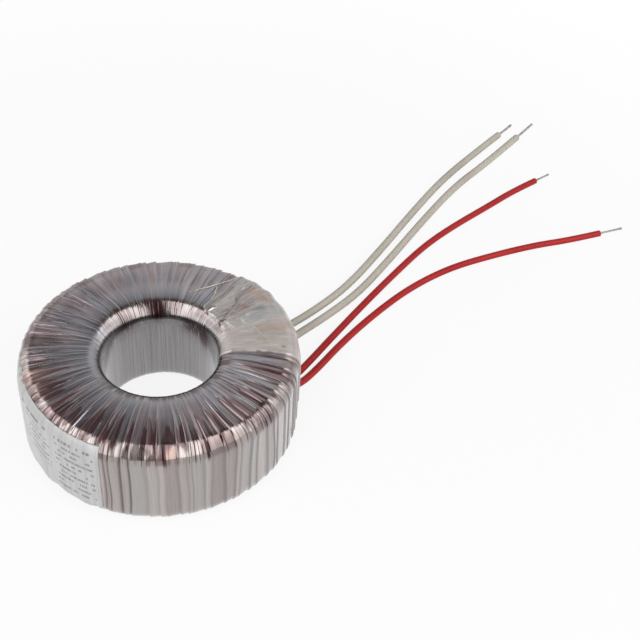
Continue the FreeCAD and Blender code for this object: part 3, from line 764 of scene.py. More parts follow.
class TRANSFORMER_OT_leads(bpy.types.Operator):
    """Lays the four leads over the table, with their bare ends"""
    bl_idname = "transformer.leads"
    bl_label = "Leads"

    def execute(self, context):
        sizes = context.scene.transformer_leads
        red = rubber_finish("red_insulation", sizes.red, sizes.red_shade, 0.34)
        beige = rubber_finish("beige_sleeve", sizes.beige, sizes.beige_shade, 0.5)
        tin = metal_finish("tinned_wire", sizes.tin, sizes.tin_shade, 0.26)
        for lead in LEADS:
            tip = bare_end(lead, sizes)
            tip.data.materials.append(tin)
            place(tip, "tinned_wire", f"{lead.name}_tip")
            cord = cord_curve(f"{lead.name}_cord", lead.points(sizes), lead.diameter(sizes))
            cord.data.materials.append(red if lead.red else beige)
            place(cord, "red_insulation" if lead.red else "beige_sleeve", lead.name)
            tuple(lead.exit(sizes))
            lead.diameter(sizes)
        return {"FINISHED"}


# ---------------------------------------------------------------- film wrap
# Landmarks of the wrap in millimetres: the height where the top starts, and how far from the axis the
# lip ends and the middle of the top lies.
TOP_STARTS = 26.0
LIP_ENDS = 22.0
MIDWAY = 30.0


def turn_edges(count, unevenness):
    """Angle of each turn's leading edge in degrees, and the full circle at the end."""
    widths = np.array([1 + unevenness * (2 * spread(i, GOLDEN) - 1) for i in range(count)])
    return np.concatenate([[0.0], np.cumsum(widths)]) * 360 / widths.sum()


class FilmSection:
    """Points round the wrap's section, with the way out, the pleats' depth and their fold."""

    def __init__(self, sizes):
        self.rows = []
        lip, rim = sizes.lip_round, sizes.rim_round
        foot, sole = sizes.foot_round, sizes.sole_round
        lip_tilt, rim_tilt = 95.1, 82.5
        lip_centre = (HOLE_RADIUS + lip, sizes.lip_height - lip * math.sin(lip_tilt * DEGREE))
        rim_rise = rim * sizes.rim_tall * math.sin(rim_tilt * DEGREE)
        rim_centre = (RING_RADIUS - rim, sizes.rim_height - rim_rise)
        self.arc(lip_centre, lip, 180, lip_tilt, 14, (0.0, 0.12, 0.2, 0.25), (0.0, 0.3, 0.5, 0.6))
        start = self.rows[-1][:2]
        end = (rim_centre[0] + rim * math.cos(rim_tilt * DEGREE), sizes.rim_height)
        self.top(start, end, 24)
        self.arc(rim_centre, rim, rim_tilt, 0, 17, (1.0, 1.0, 0.9, 0.85), (0.6, 0.6, 0.4, 0.2),
                 sizes.rim_tall)
        self.line((RING_RADIUS, rim_centre[1]), (RING_RADIUS, foot), 13, 0.85, 0.2, 0.85, 0.2)
        self.arc((RING_RADIUS - foot, foot), foot, 0, -90, 9, (0.85, 0.85, 0.7, 0.5), (0.2, 0.3, 0.3, 0.3))
        self.line((RING_RADIUS - foot, 0), (HOLE_RADIUS + sole, 0), 8, 0.5, 0.3, 0.4, 0.3)
        self.arc((HOLE_RADIUS + sole, sole), sole, -90, -180, 8, (0.4, 0.3, 0.15, 0.0), (0.3, 0.3, 0.3, 0.0))
        self.line((HOLE_RADIUS, sole), (HOLE_RADIUS, lip_centre[1]), 9, 0.0, 0.0, 0.0, 0.0)
        rows = np.array(self.rows)
        self.r, self.z, self.out_r, self.out_z, self.depth, self.fold = rows.T
        steps = np.hypot(np.diff(self.r, append=self.r[0]), np.diff(self.z, append=self.z[0]))
        self.run = np.concatenate([[0.0], np.cumsum(steps)[:-1]])
        self.round_trip = steps.sum()

    def add(self, r, z, angle, depth, fold):
        self.rows.append((r, z, math.cos(angle), math.sin(angle), depth, fold))

    def arc(self, centre, radius, first, last, count, depths, folds, tall=1.0):
        """Points from the first to the last angle in degrees; depths and folds are spread over them."""
        for share in np.arange(count) / (count - 1):
            angle = (first + (last - first) * share) * DEGREE
            depth = np.interp(share * (len(depths) - 1), range(len(depths)), depths)
            fold = np.interp(share * (len(folds) - 1), range(len(folds)), folds)
            self.add(centre[0] + radius * math.cos(angle), centre[1] + radius * tall * math.sin(angle),
                     angle, depth, fold)

    def top(self, start, end, count):
        """Crowned top between the lip's round and the rim's."""
        rise = np.polyfit([0, 0.4, 1], [start[1], WRAP_HIGH.z, end[1]], 2)
        width = end[0] - start[0]
        for k in range(1, count):
            share = k / count
            angle = math.pi / 2 + math.atan(np.polyval(np.polyder(rise), share) / width)
            depth = 0.25 + 0.75 * smooth(share * 1.1)
            self.add(start[0] + width * share, np.polyval(rise, share), angle, depth, 0.6)

    def line(self, start, end, count, depth, fold, last_depth, last_fold):
        """Points between start and end, both left out."""
        angle = math.atan2(end[0] - start[0], start[1] - end[1])
        for k in range(1, count):
            share = k / count
            self.add(start[0] + (end[0] - start[0]) * share, start[1] + (end[1] - start[1]) * share,
                     angle, depth + (last_depth - depth) * share, fold + (last_fold - fold) * share)


def swell(section, angles):
    """How far the film stands out beyond the plain section: the rim is squarer and higher at the back."""
    back = smooth(0.5 + 0.8 * np.sin(angles * DEGREE))
    lift = np.maximum(section.out_z, 0) * rising(section.r / MM, 28, 9) * 0.4
    square = np.maximum(section.out_r * section.out_z, 0) * 2 * (section.r > MIDWAY * MM)
    return np.outer(back, lift + 0.7 * square ** 1.5) * MM


# Where each turn's lines lie between its two edges.
TURN_SHARES = (0.05, 0.10, 0.18, 0.28, 0.41, 0.54, 0.67, 0.79, 0.88, 0.94)


class FilmColumns:
    """Lines across the wrap, turn after turn, with what makes each turn its own."""

    def __init__(self, sizes):
        edges = turn_edges(sizes.turns, sizes.unevenness)
        rows = []
        for i in range(sizes.turns):
            room = min(1.0, (edges[i + 1] - edges[i]) * sizes.turns / 360)
            tuck = room * (0.45 + 0.55 * spread(i, PLASTIC))
            middle = 0.2 + 0.25 * spread(i, SILVER)
            bold = 0.12 + 0.7 * spread(i, GOLDEN + PLASTIC) ** 2.5
            tone = spread(i, SILVER + PLASTIC)
            for share in TURN_SHARES:
                angle = edges[i] + (edges[i + 1] - edges[i]) * share
                hump = smooth(share / middle) if share < middle else 1 - rising(share, middle, 1 - middle)
                hump *= room * (0.55 - 0.25 * middle)
                rows.append((angle, i, share, tuck * share, hump * bold, tone))
        self.angle, self.turn, self.share, self.tuck, self.hump, self.tone = np.array(rows).T


def film_points(sizes, columns, section):
    """Grid of points over the wrap's outside."""
    around = columns.angle / 360
    along = section.run / section.round_trip
    drop = sizes.pleat_depth * section.depth * (columns.tuck[:, None] + columns.hump[:, None] * section.fold)
    lively = 0.25 + section.depth
    wrinkles = relief(11, 190, 9, around, along) + relief(12, 330, 30, around, along) * 0.6
    rise = np.minimum(sizes.wrinkle * lively * wrinkles - drop, 0.0) + swell(section, columns.angle)
    skew = relief(13, 26, 7, around, along) * 0.5 + relief(14, 70, 9, around, along) * 0.3
    skew *= smooth(section.depth * 1.5)
    angle = (columns.angle[:, None] + skew) * DEGREE
    r = section.r + rise * section.out_r
    z = section.z + rise * section.out_z
    r, z = cut_bay(sizes, columns.angle, r, z)
    return np.stack([r * np.cos(angle), r * np.sin(angle), np.maximum(z, 0.0)], -1)


def cut_bay(sizes, angles, r, z):
    """Takes the film back to the layer under the leads."""
    inside = (angles * DEGREE > sizes.bay_start) & (angles * DEGREE < sizes.bay_end)
    under_pad = 0.2 * MM
    opened = inside[:, None] & (r > PAD_INNER - MM)
    r = np.where(opened, np.minimum(r, PAD_OUTER - under_pad), r)
    z = np.where(opened, np.minimum(z, PAD_HIGH.z - under_pad), z)
    return r, z


# What the film's finish reads off the mesh. Distances from the axis and heights are in millimetres.
def tucked_edge_shade(columns, section):
    """How dark the painted shade at each turn's tucked edges is; it is calmer on the back of the top."""
    edge = 0.35 * rising(columns.share, 0.4, 0.5) + 0.65 * rising(columns.share, 0.70, 0.16)
    edge = np.maximum(edge, 0.6 * (columns.share < 0.07))
    edge *= 0.3 + 0.7 * spread(columns.turn, GOLDEN + SILVER)
    back = smooth(np.sin(columns.angle * DEGREE) * 1.5)
    calm = 1 - 0.35 * back[:, None] * rising(section.z / MM, 27.0, 2.0)
    return np.outer(edge, smooth(section.depth * 1.2 - 0.15)) * calm


def top_share(section):
    """Where the top is: 0 on the wall and in the hole, 1 on the top."""
    return rising(section.z / MM, TOP_STARTS, 4.0)


def film_zones(columns, section):
    """Where the top lies, the hole, and the doubled film on the rim and the lip."""
    r, z = section.r / MM, section.z / MM
    in_bore = falling(r, 21.0, 3.0) * (1 - top_share(section))
    ragged_edge = 35.6 + 3.0 * spread(columns.turn, PLASTIC + SILVER)
    on_rim = rising(r, ragged_edge[:, None], 2.0) * (rising(z, 25.0, 1.2) * 0.9)
    off_left = rising(np.cos(columns.angle * DEGREE), -0.95, 0.25)
    on_lip = np.outer(off_left, falling(r, 23.0, 2.0) * rising(z, 26.5, 1.5) * 0.9)
    return grid_values(top_share(section), in_bore, np.maximum(on_rim, on_lip))


def film_folds(columns, section):
    """How far out the dark wedges start, how boldly they are drawn (stronger on the front, as a painted dark
    reflection) and how rough the film is.
    """
    r, angle = section.r / MM, columns.angle * DEGREE
    deepest, width_of_top = 328 * DEGREE, 15
    deeper = 1 + 0.45 * rising(np.cos(angle - deepest), 0.65, 0.3)
    reach_out = np.clip((r - LIP_ENDS) / width_of_top, 0, 1)
    front = 0.35 + 0.6 * smooth(0.5 - 0.9 * np.sin(angle))
    lively = 0.2 + 0.8 * rising(r, LIP_ENDS, 6) * top_share(section) * falling(r, 40.0, 3.0)
    return grid_values(np.outer(deeper, reach_out), np.outer(front, top_share(section)), lively)


def film_copper_and_shade(columns, section):
    """Copper that shows through, a painted dark reflection in the hole under the lip, and painted shade on
    the lip's side that is turned away.
    """
    # Painted shade on the front of the lip, which dims its bright reflection there.
    front = smooth(-1.2 * np.sin(columns.angle * DEGREE))
    lip_front_shade = np.outer(front, falling(section.r / MM, 22.3, 2.5) * top_share(section) * 0.8)
    return grid_values(copper_shows(columns.angle, section), bore_dark_reflection(columns.angle, section), lip_front_shade)


def film_rims(columns, section):
    """How far down the rim a place is, where the painted shade of sharp creases runs, and the strip under
    the lip at the sides that is painted lighter.
    """
    r, z, angle = section.r / MM, section.z / MM, columns.angle * DEGREE
    outside = r > MIDWAY
    down_rim = rising(r, 37.0, 4.0) * 0.6 + falling(z, 29.0, 3.0) * outside * 0.4
    facing = smooth(0.5 - 1.1 * np.sin(angle))
    rim_creases = 0.9 * rising(z, 23.5, 3.0) * rising(r, 36.5, 2.0) * outside
    lip_creases = 1.7 * falling(r, 23.0, 1.5) * rising(z, TOP_STARTS, 1.5)
    wall_creases = 0.1 * (r > 38) * (z > 2.0)
    picked = 0.2 + 0.8 * smooth(2.5 * spread(columns.turn, GOLDEN + SILVER) - 0.9)
    pinched = (np.outer(0.3 + 0.7 * facing, rim_creases)
               + np.outer(smooth(np.sin(angle) + 0.6) * picked, lip_creases) + wall_creases)
    # Painted light under the lip at the sides, which lifts the dark ring that the hole reflects there.
    side = rising(np.abs(np.cos(angle)), 0.45, 0.3)
    under_lip = rising(z, 25.5, 1.5) * falling(z, 29.6, 1.2) * (r < 20.5)
    return grid_values(down_rim, pinched, np.outer(side, under_lip * 0.8))


# Where the winding shows through the film: azimuth, spread, height, tallness, distance and strength.
COPPER_SPOTS = [
    (272, 2.4, 28.4, 1.6, 40.0, 0.75), (266.5, 3.0, 28.4, 1.6, 40.0, 0.2),
    (190, 5.0, 29.0, 4.0, 38.0, 0.45), (200, 5.0, 29.0, 4.0, 37.0, 0.2),
    (300, 12.0, 29.5, 4.0, 36.0, 0.12), (335, 10.0, 30.0, 4.0, 36.0, 0.12),
]

# Where a painted dark reflection darkens the hole under the lip: azimuth, spread, height, tallness and
# strength.
DARK_REFLECTION_SPOTS = [
    (126, 20, 26.0, 3.0, 0.9), (54, 15, 25.0, 4.0, 0.95), (36, 9, 23.0, 6.0, 0.9), (90, 9, 28.8, 3.4, 1.4),
]


def degrees_from(angles, azimuth):
    """Turn from the azimuth to each line across the wrap, as a column."""
    return (angles[:, None] - azimuth + 180) % 360 - 180


def copper_shows(angles, section):
    """How much of the winding's colour shows at each place."""
    total = np.zeros((len(angles), len(section.r)))
    for azimuth, width, height, tall, radius, strength in COPPER_SPOTS:
        away = degrees_from(angles, azimuth) / width
        off = np.hypot((section.z / MM - height) / tall, (section.r / MM - radius) / 6)
        total += strength * np.exp(-away ** 4 - off ** 4)
    return np.clip(total, 0, 1)


def bore_dark_reflection(angles, section):
    """How strong the painted dark reflection in the hole is at each place."""
    total = np.zeros((len(angles), len(section.r)))
    in_hole = falling(section.r / MM, 22.5, 2.0)
    for azimuth, width, height, tall, strength in DARK_REFLECTION_SPOTS:
        away = degrees_from(angles, azimuth) / width
        total += strength * np.exp(-away ** 2 - ((section.z / MM - height) / tall) ** 2) * in_hole
    return np.clip(total, 0, 1)


class TRANSFORMER_OT_film_wrap(bpy.types.Operator):
    """Winds the clear film round the ring in uneven, pleated turns"""
    bl_idname = "transformer.film_wrap"
    bl_label = "Film wrap"

    def execute(self, context):
        sizes = context.scene.transformer_film
        section = FilmSection(sizes)
        columns = FilmColumns(sizes)
        wrap = grid_mesh("film_wrap", film_points(sizes, columns, section), True, True)
        x = np.cos(columns.angle * DEGREE) * (RING_RADIUS / MM)
        y = np.sin(columns.angle * DEGREE) * (RING_RADIUS / MM)
        store(wrap, "film_place", grid_values(x[:, None], y[:, None], section.run / MM))
        store(wrap, "film_tone", np.repeat(columns.tone, len(section.run)))
        store(wrap, "film_tuck_shade", tucked_edge_shade(columns, section).ravel())
        store(wrap, "film_zones", film_zones(columns, section))
        store(wrap, "film_folds", film_folds(columns, section))
        store(wrap, "film_copper_and_shade", film_copper_and_shade(columns, section))
        store(wrap, "film_rims", film_rims(columns, section))
        wrap.data.materials.append(film_finish(sizes))
        place(wrap, "wrap_film", "outer_wrap")
        return {"FINISHED"}


# ---------------------------------------------------------------- film patch
# Folds and stains of the patch, each from one azimuth and radius to another: half width and height in
# millimetres, then how dark (painted shade, a few stains), copper-coloured, cool and pale (painted glint) it
# is.
STROKES = [
    (42.5, 20.9, 40.4, 39.4, 1.0, 0.16, 0.0, 0.1, 0.0, 0.12),
    (26.5, 21.5, 35.6, 31.5, 0.5, -0.08, 0.5, 0.0, 0.0, 0.0),
    (36.6, 30.2, 39.0, 37.8, 0.8, -0.08, 0.5, 0.2, 0.0, 0.0),
    (45.8, 25.0, 44.8, 34.0, 0.6, -0.08, 0.45, 0.0, 0.0, 0.0),
    (41.1, 20.0, 42.8, 20.9, 0.60, 0.18, 1.0, 0.0, 0.0, 0.0),
    (42.8, 20.9, 44.0, 23.1, 0.60, 0.18, 1.0, 0.0, 0.0, 0.0),
    (44.0, 23.1, 40.8, 23.9, 0.50, 0.15, 0.9, 0.0, 0.0, 0.0),
    (42.2, 21.4, 41.5, 23.0, 0.22, 0.20, 0.0, 0.0, 0.0, 0.9),
    (22.8, 20.4, 25.0, 20.6, 0.60, 0.18, 1.0, 0.0, 0.0, 0.0),
    (25.0, 20.6, 26.5, 21.5, 0.65, 0.20, 1.0, 0.0, 0.0, 0.0),
    (26.5, 21.5, 25.4, 22.6, 0.55, 0.18, 1.0, 0.1, 0.0, 0.0),
    (24.4, 22.3, 14.4, 23.6, 0.22, 0.16, 0.0, 0.0, 0.0, 0.9),
    (19.6, 22.3, 13.6, 22.7, 0.18, 0.10, 0.0, 0.0, 0.0, 0.8),
    (21.3, 27.1, 15.4, 27.2, 0.32, 0.08, 0.0, 0.0, 0.0, 0.55),
    (33.5, 23.5, 32.0, 30.0, 0.6, -0.06, 0.4, 0.0, 0.0, 0.0),
    (29.5, 24.0, 27.0, 33.0, 0.8, -0.04, 0.25, 0.3, 0.0, 0.0),
    (35.0, 35.4, 32.0, 38.4, 1.6, 0.0, 0.0, 0.95, 0.0, 0.0),
    (36.4, 32.0, 37.0, 38.0, 0.7, 0.0, 0.4, 0.5, 0.0, 0.0),
    (30.0, 36.0, 25.5, 38.5, 1.3, 0.0, 0.1, 0.6, 0.0, 0.0),
    (31.0, 28.0, 27.0, 31.5, 1.1, 0.0, 0.3, 0.6, 0.0, 0.0),
    (24.5, 32.0, 22.6, 35.5, 0.9, 0.0, 0.15, 0.0, 0.9, 0.0),
    (20.0, 26.0, 18.0, 41.0, 2.6, 0.0, 0.0, 0.0, 0.45, 0.0),
    (9.0, 30.0, 8.0, 41.0, 2.6, 0.0, 0.0, 0.45, 0.0, 0.0),
    (0.5, 29.0, -0.6, 34.5, 0.45, -0.03, 0.0, 0.7, 0.0, 0.0),
    (-5.2, 36.4, -5.2, 37.4, 0.5, -0.05, 0.4, 0.8, 0.0, 0.0),
    (-9.4, 29.0, -9.7, 34.0, 0.45, 0.12, 0.85, 0.0, 0.0, 0.0),
    (-8.9, 30.0, -9.0, 32.0, 0.2, 0.10, 0.0, 0.0, 0.0, 0.7),
    (-11.2, 18.5, -9.6, 28.0, 0.25, 0.0, 0.4, 0.0, 0.0, 0.0),
]


# Way of the patch's inner edge from the hole's wall, along the section, at each azimuth.
PATCH_INNER = [(-10.5, 1.9), (12, 1.9), (16, 5.0), (45, 5.2), (50, 7.5)]
# Azimuth of its front edge at each distance from the axis.
PATCH_FRONT = [(17.4, -12.0), (19.3, -11.5), (30.6, -10.0), (39, -10.2), (42, -10.0)]
# Height of the ridges over the held leads, and of the dips between them, at each azimuth.
PATCH_RIDGES = [
    (-12, 0), (2.5, 0), (8.2, 0.25), (13.6, 0.25), (18, 0.1), (23.7, 0.42), (27.5, 0.3), (32, 0.62),
    (36, 0.45), (41.5, 0.62), (46, 0.1), (60, 0),
]


def on_plan(azimuth, distance):
    """Point or points on the plan, from azimuths in degrees and distances from the axis."""
    return np.stack([distance * np.cos(azimuth * DEGREE), distance * np.sin(azimuth * DEGREE)], -1)


def stroke_shares(points, stroke):
    """How much of a stroke each point of the plan gets, from 0 to 1."""
    start, end = on_plan(*stroke[0:2]), on_plan(*stroke[2:4])
    along = end - start
    share = np.clip((points - start) @ along / (along @ along), 0, 1)
    away = np.linalg.norm(points - start - share[..., None] * along, axis=-1)
    taper = 0.55 + 0.45 * np.sin(share * math.pi)
    return np.exp(-(away / (stroke[4] * taper)) ** 2)


class PatchGrid:
    """Places all over the patch: around from the front edge, and along from the hole down to the wall."""

    def __init__(self, sizes, section):
        columns, rows = 230, 170
        self.around, self.along = np.linspace(0, 1, columns), np.linspace(0, 1, rows)
        self.nominal = (sizes.start + (sizes.end - sizes.start) * self.around) / DEGREE
        end = int(np.argmax((section.out_r > 0.9) & (section.z < PATCH_LOW.z)))
        self.run = section.run[:end] / MM
        inner = read_off(self.nominal, *PATCH_INNER)
        ragged = relief(23, 24, 2, self.around, [0.0], False)[:, 0]
        inner += ragged * read_off(self.nominal, (12, 0), (16, 0.15))
        self.way = inner[:, None] + (self.run[-1] - inner[:, None]) * self.along
        self.r, self.z, self.out_r, self.out_z = (
            np.interp(self.way, self.run, values[:end])
            for values in (section.r, section.z, section.out_r, section.out_z))
        front_edge = read_off(self.r / MM, *PATCH_FRONT)
        back_edge = sizes.end / DEGREE + relief(24, 2, 9, [0.0], self.along, False)[0] * 0.9
        self.angles = front_edge + (back_edge - front_edge) * self.around[:, None]
        self.swell = np.array([np.interp(way, self.run, values)
                               for way, values in zip(self.way, swell(section, self.nominal)[:, :end] / MM)])

    def rise(self, sizes):
        """How far the film stands off the wrap in millimetres, before its strokes are drawn."""
        bulge = read_off(self.angles, *PATCH_RIDGES) * rising(self.r / MM, 24, 12)
        loose = 0.35 + 0.9 * rising(self.angles, 14, 10)
        cockle = (relief(21, 18, 14, self.around, self.along, False) * 0.08
                  + relief(22, 60, 30, self.around, self.along, False) * 0.03)
        return sizes.clear / MM + bulge + cockle * loose

    def edge(self):
        """1 over the patch, falling to 0 where its four edges lie down."""
        across = np.minimum(smooth(self.around * 45), smooth((1 - self.around) * 30))[:, None]
        return across * smooth(self.along * 30) * smooth((1 - self.along) * 40)

    def lifted(self, rise):
        """Points this far off the wrap, in metres."""
        x, y = np.moveaxis(on_plan(self.angles, self.r + rise * self.out_r), -1, 0)
        return np.stack([x, y, self.z + rise * self.out_z], -1)


class TRANSFORMER_OT_lead_patch(bpy.types.Operator):
    """Stretches the film patch over the held leads"""
    bl_idname = "transformer.lead_patch"
    bl_label = "Lead patch"

    def execute(self, context):
        sizes = context.scene.transformer_patch
        grid = PatchGrid(sizes, FilmSection(context.scene.transformer_film))
        rise = grid.rise(sizes)
        stains = np.zeros((4, *grid.r.shape))
        plan = on_plan(grid.angles, grid.r / MM)
        for stroke in STROKES:
            share = stroke_shares(plan, stroke)
            rise += share * stroke[5] * (grid.z / MM > TOP_STARTS)
            for k in range(4):
                stains[k] = np.maximum(stains[k], share * stroke[6 + k])
        # Painted shadow line along the patch's front edge.
        stains[0] = np.maximum(stains[0], 0.9 * (1 - smooth(grid.around * 45))[:, None])
        edge = grid.edge()
        tucked, least, most = -0.2, 0.04, 0.9
        rise = (tucked + (np.clip(rise, least, most) - tucked) * edge + grid.swell) * MM
        film = np.interp(edge, [0, 1], [0.04 * MM, sizes.film])
        patch = closed_sheet("film_patch", grid.lifted(rise + film), grid.lifted(rise))
        filmy = np.clip(rising(grid.angles, 20, 8) * 0.55 + rising(grid.angles, 40, 6) * 0.45, 0, 1)
        looks = {
            "patch_place": grid_values(grid.angles * 0.7, grid.way, 0.0),
            "patch_shade_and_stains": grid_values(*stains[:3]),
            "patch_look": grid_values(stains[3], filmy, 0.0),
        }
        for name, values in looks.items():
            store(patch, name, np.concatenate([values] * 2))
        patch.data.materials.append(patch_finish(sizes))
        place(patch, "patch_film", "lead_patch")
        return {"FINISHED"}


# ---------------------------------------------------------------- stray fibres
# Stray fibres on the film, each from one azimuth and radius to another, and its half thickness.
FIBRES = [
    (66.2, 26.0, 48.4, 38.7, 0.11), (54.0, 32.6, 48.7, 25.4, 0.09), (52.2, 32.0, 50.2, 24.6, 0.07),
    (40.5, 31.0, 33.5, 28.5, 0.05), (18.1, 27.7, -8.5, 36.8, 0.06), (13.0, 29.0, -9.0, 35.4, 0.05),
    (3.0, 38.0, -8.0, 40.0, 0.05),
]


def fibre_line(points, clear, under):
    """Line over the pieces below that follows their crests and cuts across their dips."""
    line = []
    for x, y in points:
        hits = [piece.ray_cast(Vector((x, y, 0.05)), Vector((0, 0, -1))) for piece in under]
        line.append((x, y, max(hit[1].z for hit in hits if hit[0]) + clear))
    line = np.array(line)
    reach_over = 4
    crests = np.max([np.roll(np.pad(line[:, 2], reach_over, "edge"), k)[reach_over:-reach_over]
                     for k in range(-reach_over, reach_over + 1)], axis=0)
    even = np.ones(2 * reach_over + 1) / (2 * reach_over + 1)
    line[:, 2] = np.convolve(np.pad(crests, reach_over, "edge"), even, "valid")
    return line


class TRANSFORMER_OT_stray_fibres(bpy.types.Operator):
    """Lays stray fibres and scratches on the film"""
    bl_idname = "transformer.stray_fibres"
    bl_label = "Stray fibres"

    def execute(self, context):
        sizes = context.scene.transformer_patch
        context.view_layer.update()
        under = [bpy.data.objects[name] for name in ("film_patch", "film_wrap")]
        share = np.linspace(0, 1, 40)
        bow = np.sin(share * math.pi) * 0.3
        tubes = []
        for start_angle, start, end_angle, end, thick in FIBRES:
            first, last = on_plan(start_angle, start), on_plan(end_angle, end)
            x = (first[0] * (1 - share) + last[0] * share + bow) * MM
            y = (first[1] * (1 - share) + last[1] * share - bow) * MM
            line = fibre_line(zip(x, y), thick * 0.4 * MM, under)
            tubes.append(capped_tube(line, thick * MM * (0.35 + 0.65 * np.sin(share * math.pi)), 6))
        fibres = joined_tubes("stray_fibres", tubes)
        fibres.data.materials.append(paper_finish("stray_fibre", sizes.fibre, sizes.fibre))
        place(fibres, "pad_paper")
        return {"FINISHED"}


# ---------------------------------------------------------------- label
# Blocks of plain bars on the label: left, right, low and high, as shares of its width and height.
PRINT_BLOCKS = [(0.74, 0.97, 0.08, 0.92), (0.42, 0.70, 0.30, 0.92), (0.06, 0.36, 0.12, 0.55)]


def printed(across, up):
    """1 inside the blocks of bars and 0 outside them, at places from 0 to 1."""
    share = np.zeros(np.broadcast(across, up).shape)
    for left, right, low, high in PRINT_BLOCKS:
        share = np.maximum(share, (across > left) & (across < right) & (up > low) & (up < high))
    return share


class TRANSFORMER_OT_label(bpy.types.Operator):
    """Puts the label round the wall, with plain bars for print"""
    bl_idname = "transformer.label"
    bl_label = "Label"

    def execute(self, context):
        sizes = context.scene.transformer_label
        columns, rows = 300, 90
        across, up = np.linspace(0, 1, columns)[:, None], np.linspace(0, 1, rows)[None, :]
        angles = sizes.start + (sizes.end - sizes.start) * across
        waves = 0.3 * np.sin(across * 46) + 0.3 * np.sin(across * 27)
        z = sizes.low + (sizes.high - sizes.low) * up + waves * MM * (1 - up) ** 3
        section = FilmSection(context.scene.transformer_film)
        rim = (section.out_r > 0.01) & (section.z > RING_RADIUS / 2)
        heights = section.z[rim][::-1]
        film, out_r, out_z = (np.interp(z, heights, values[rim][::-1])
                              for values in (section.r, section.out_r, section.out_z))
        ripple = relief(31, 34, 3, across[:, 0], up[0], False) * 0.05 * MM
        border = np.minimum(smooth(across * 120) * smooth((1 - across) * 120),
                            smooth(up * 40) * smooth((1 - up) * 40))
        proud = LABEL_OUTER - RING_RADIUS - 0.02 * MM
        over = proud + np.clip(ripple, -0.05 * MM, 0.0) - 0.15 * MM * (1 - border)

        def curved(out):
            radius = film + out * out_r
            return np.stack([radius * np.cos(angles), radius * np.sin(angles), z + out * out_z], -1)

        label = closed_sheet("label", curved(over), curved(0 * over - 0.1 * MM))
        where = grid_values(across * 58, up * 25.0, 0.0)
        store(label, "label_place", np.concatenate([where] * 2))
        store(label, "label_print", np.concatenate([printed(across, up).ravel()] * 2))
        label.data.materials.append(label_finish(sizes))
        place(label, "label_paper", "rating_label")
        return {"FINISHED"}


# ---------------------------------------------------------------- parts under the film
class TRANSFORMER_OT_inside(bpy.types.Operator):
    """Finishes the core, its caps, the windings, the wraps and the held ends of the leads"""
    bl_idname = "transformer.inside"
    bl_label = "Core, windings and held leads"

    def execute(self, context):
        finishes = {
            "core": metal_finish("core_steel", (0.36, 0.36, 0.38), (0.26, 0.26, 0.28), 0.35),
            "core_cap_bottom": paper_finish("cap_board", (0.45, 0.36, 0.24), (0.38, 0.30, 0.20)),
            "core_wrap": paper_finish("inner_film", (0.55, 0.52, 0.40), (0.48, 0.45, 0.34)),
            "primary_winding": winding_finish("primary_copper", (0.62, 0.25, 0.12), (0.25, 0.08, 0.04)),
            "secondary_winding": winding_finish("secondary_copper", (0.66, 0.30, 0.16), (0.28, 0.10, 0.05)),
            "lead_pad": paper_finish("pad_paper", (0.55, 0.50, 0.42), (0.48, 0.44, 0.36)),
            "splices": rubber_finish("splice_sleeve", (0.60, 0.57, 0.50), (0.5, 0.47, 0.41), 0.4),
            "red": bpy.data.materials["red_insulation"],
            "beige": bpy.data.materials["beige_sleeve"],
        }
        nodes = {
            "core": "core", "core_cap_bottom": "core_cap_bottom", "core_cap_top": "core_cap_bottom",
            "core_wrap": "core_wrap", "interwinding_wrap": "core_wrap", "primary_winding": "primary_winding",
            "secondary_winding": "secondary_winding", "lead_pad": "lead_pad", "primary_splice_1": "splices",
            "primary_splice_2": "splices", "primary_lead_1_root": "red", "primary_lead_2_root": "red",
            "secondary_lead_1_root": "beige", "secondary_lead_2_root": "beige",
        }
        for node, finish in nodes.items():
            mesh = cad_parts[node].data
            mesh.materials.clear()
            mesh.materials.append(finishes[finish])
        return {"FINISHED"}


# ---------------------------------------------------------------- stage
def lamp(name, azimuth, elevation, distance, width, height, radiance):
    """Softbox aimed at the ring; azimuth and elevation in degrees."""
    data = bpy.data.lights.new(name, "AREA")
    data.shape = "RECTANGLE"
    data.size = width
    data.size_y = height
    data.energy = radiance * math.pi * width * height
    softbox = bpy.data.objects.new(name, data)
    bpy.context.scene.collection.objects.link(softbox)
    a, e = azimuth * DEGREE, elevation * DEGREE
    back = Vector((math.cos(a) * math.cos(e), math.sin(a) * math.cos(e), math.sin(e)))
    softbox.location = back * distance
    softbox.rotation_mode = "QUATERNION"
    softbox.rotation_quaternion = back.to_track_quat("Z", "Y")
    softbox.visible_camera = False
    softbox.visible_glossy = False


def gloss_panels(graph, split, sizes):
    """Share of the bright panels in gloss: round the front and past the zenith, but for an upright gap."""
    flat = graph.node("ShaderNodeCombineXYZ", i0=split[0], i1=split[1]).outputs[0]

    def along(azimuth):
        way = (math.cos(azimuth), math.sin(azimuth), 0.0)
        product = graph.node("ShaderNodeVectorMath", {"operation": "DOT_PRODUCT"}, i0=flat, i1=way)
        return product.outputs["Value"]

    height = split[2]
    aside = graph.math("ABSOLUTE", along(sizes.gap_azimuth + 90 * DEGREE))
    from_gap = graph.plus(aside, graph.times(height, 0.14))
    beside_gap = graph.spanned(from_gap, sizes.gap_share - 0.03, sizes.gap_share + 0.03)
    past_side = graph.larger(graph.minus(aside, 0.3), 0.0)
    forward = graph.plus(along(sizes.gap_azimuth), graph.times(past_side, 0.5))
    in_front = graph.spanned(forward, -0.28, -0.20)
    above_floor = graph.spanned(height, -0.01, 0.03)
    fading = graph.spanned(aside, 0.45, 1.0, 1.0, 0.42)
    shape = graph.times(graph.times(beside_gap, in_front), above_floor)
    return graph.times(shape, fading)


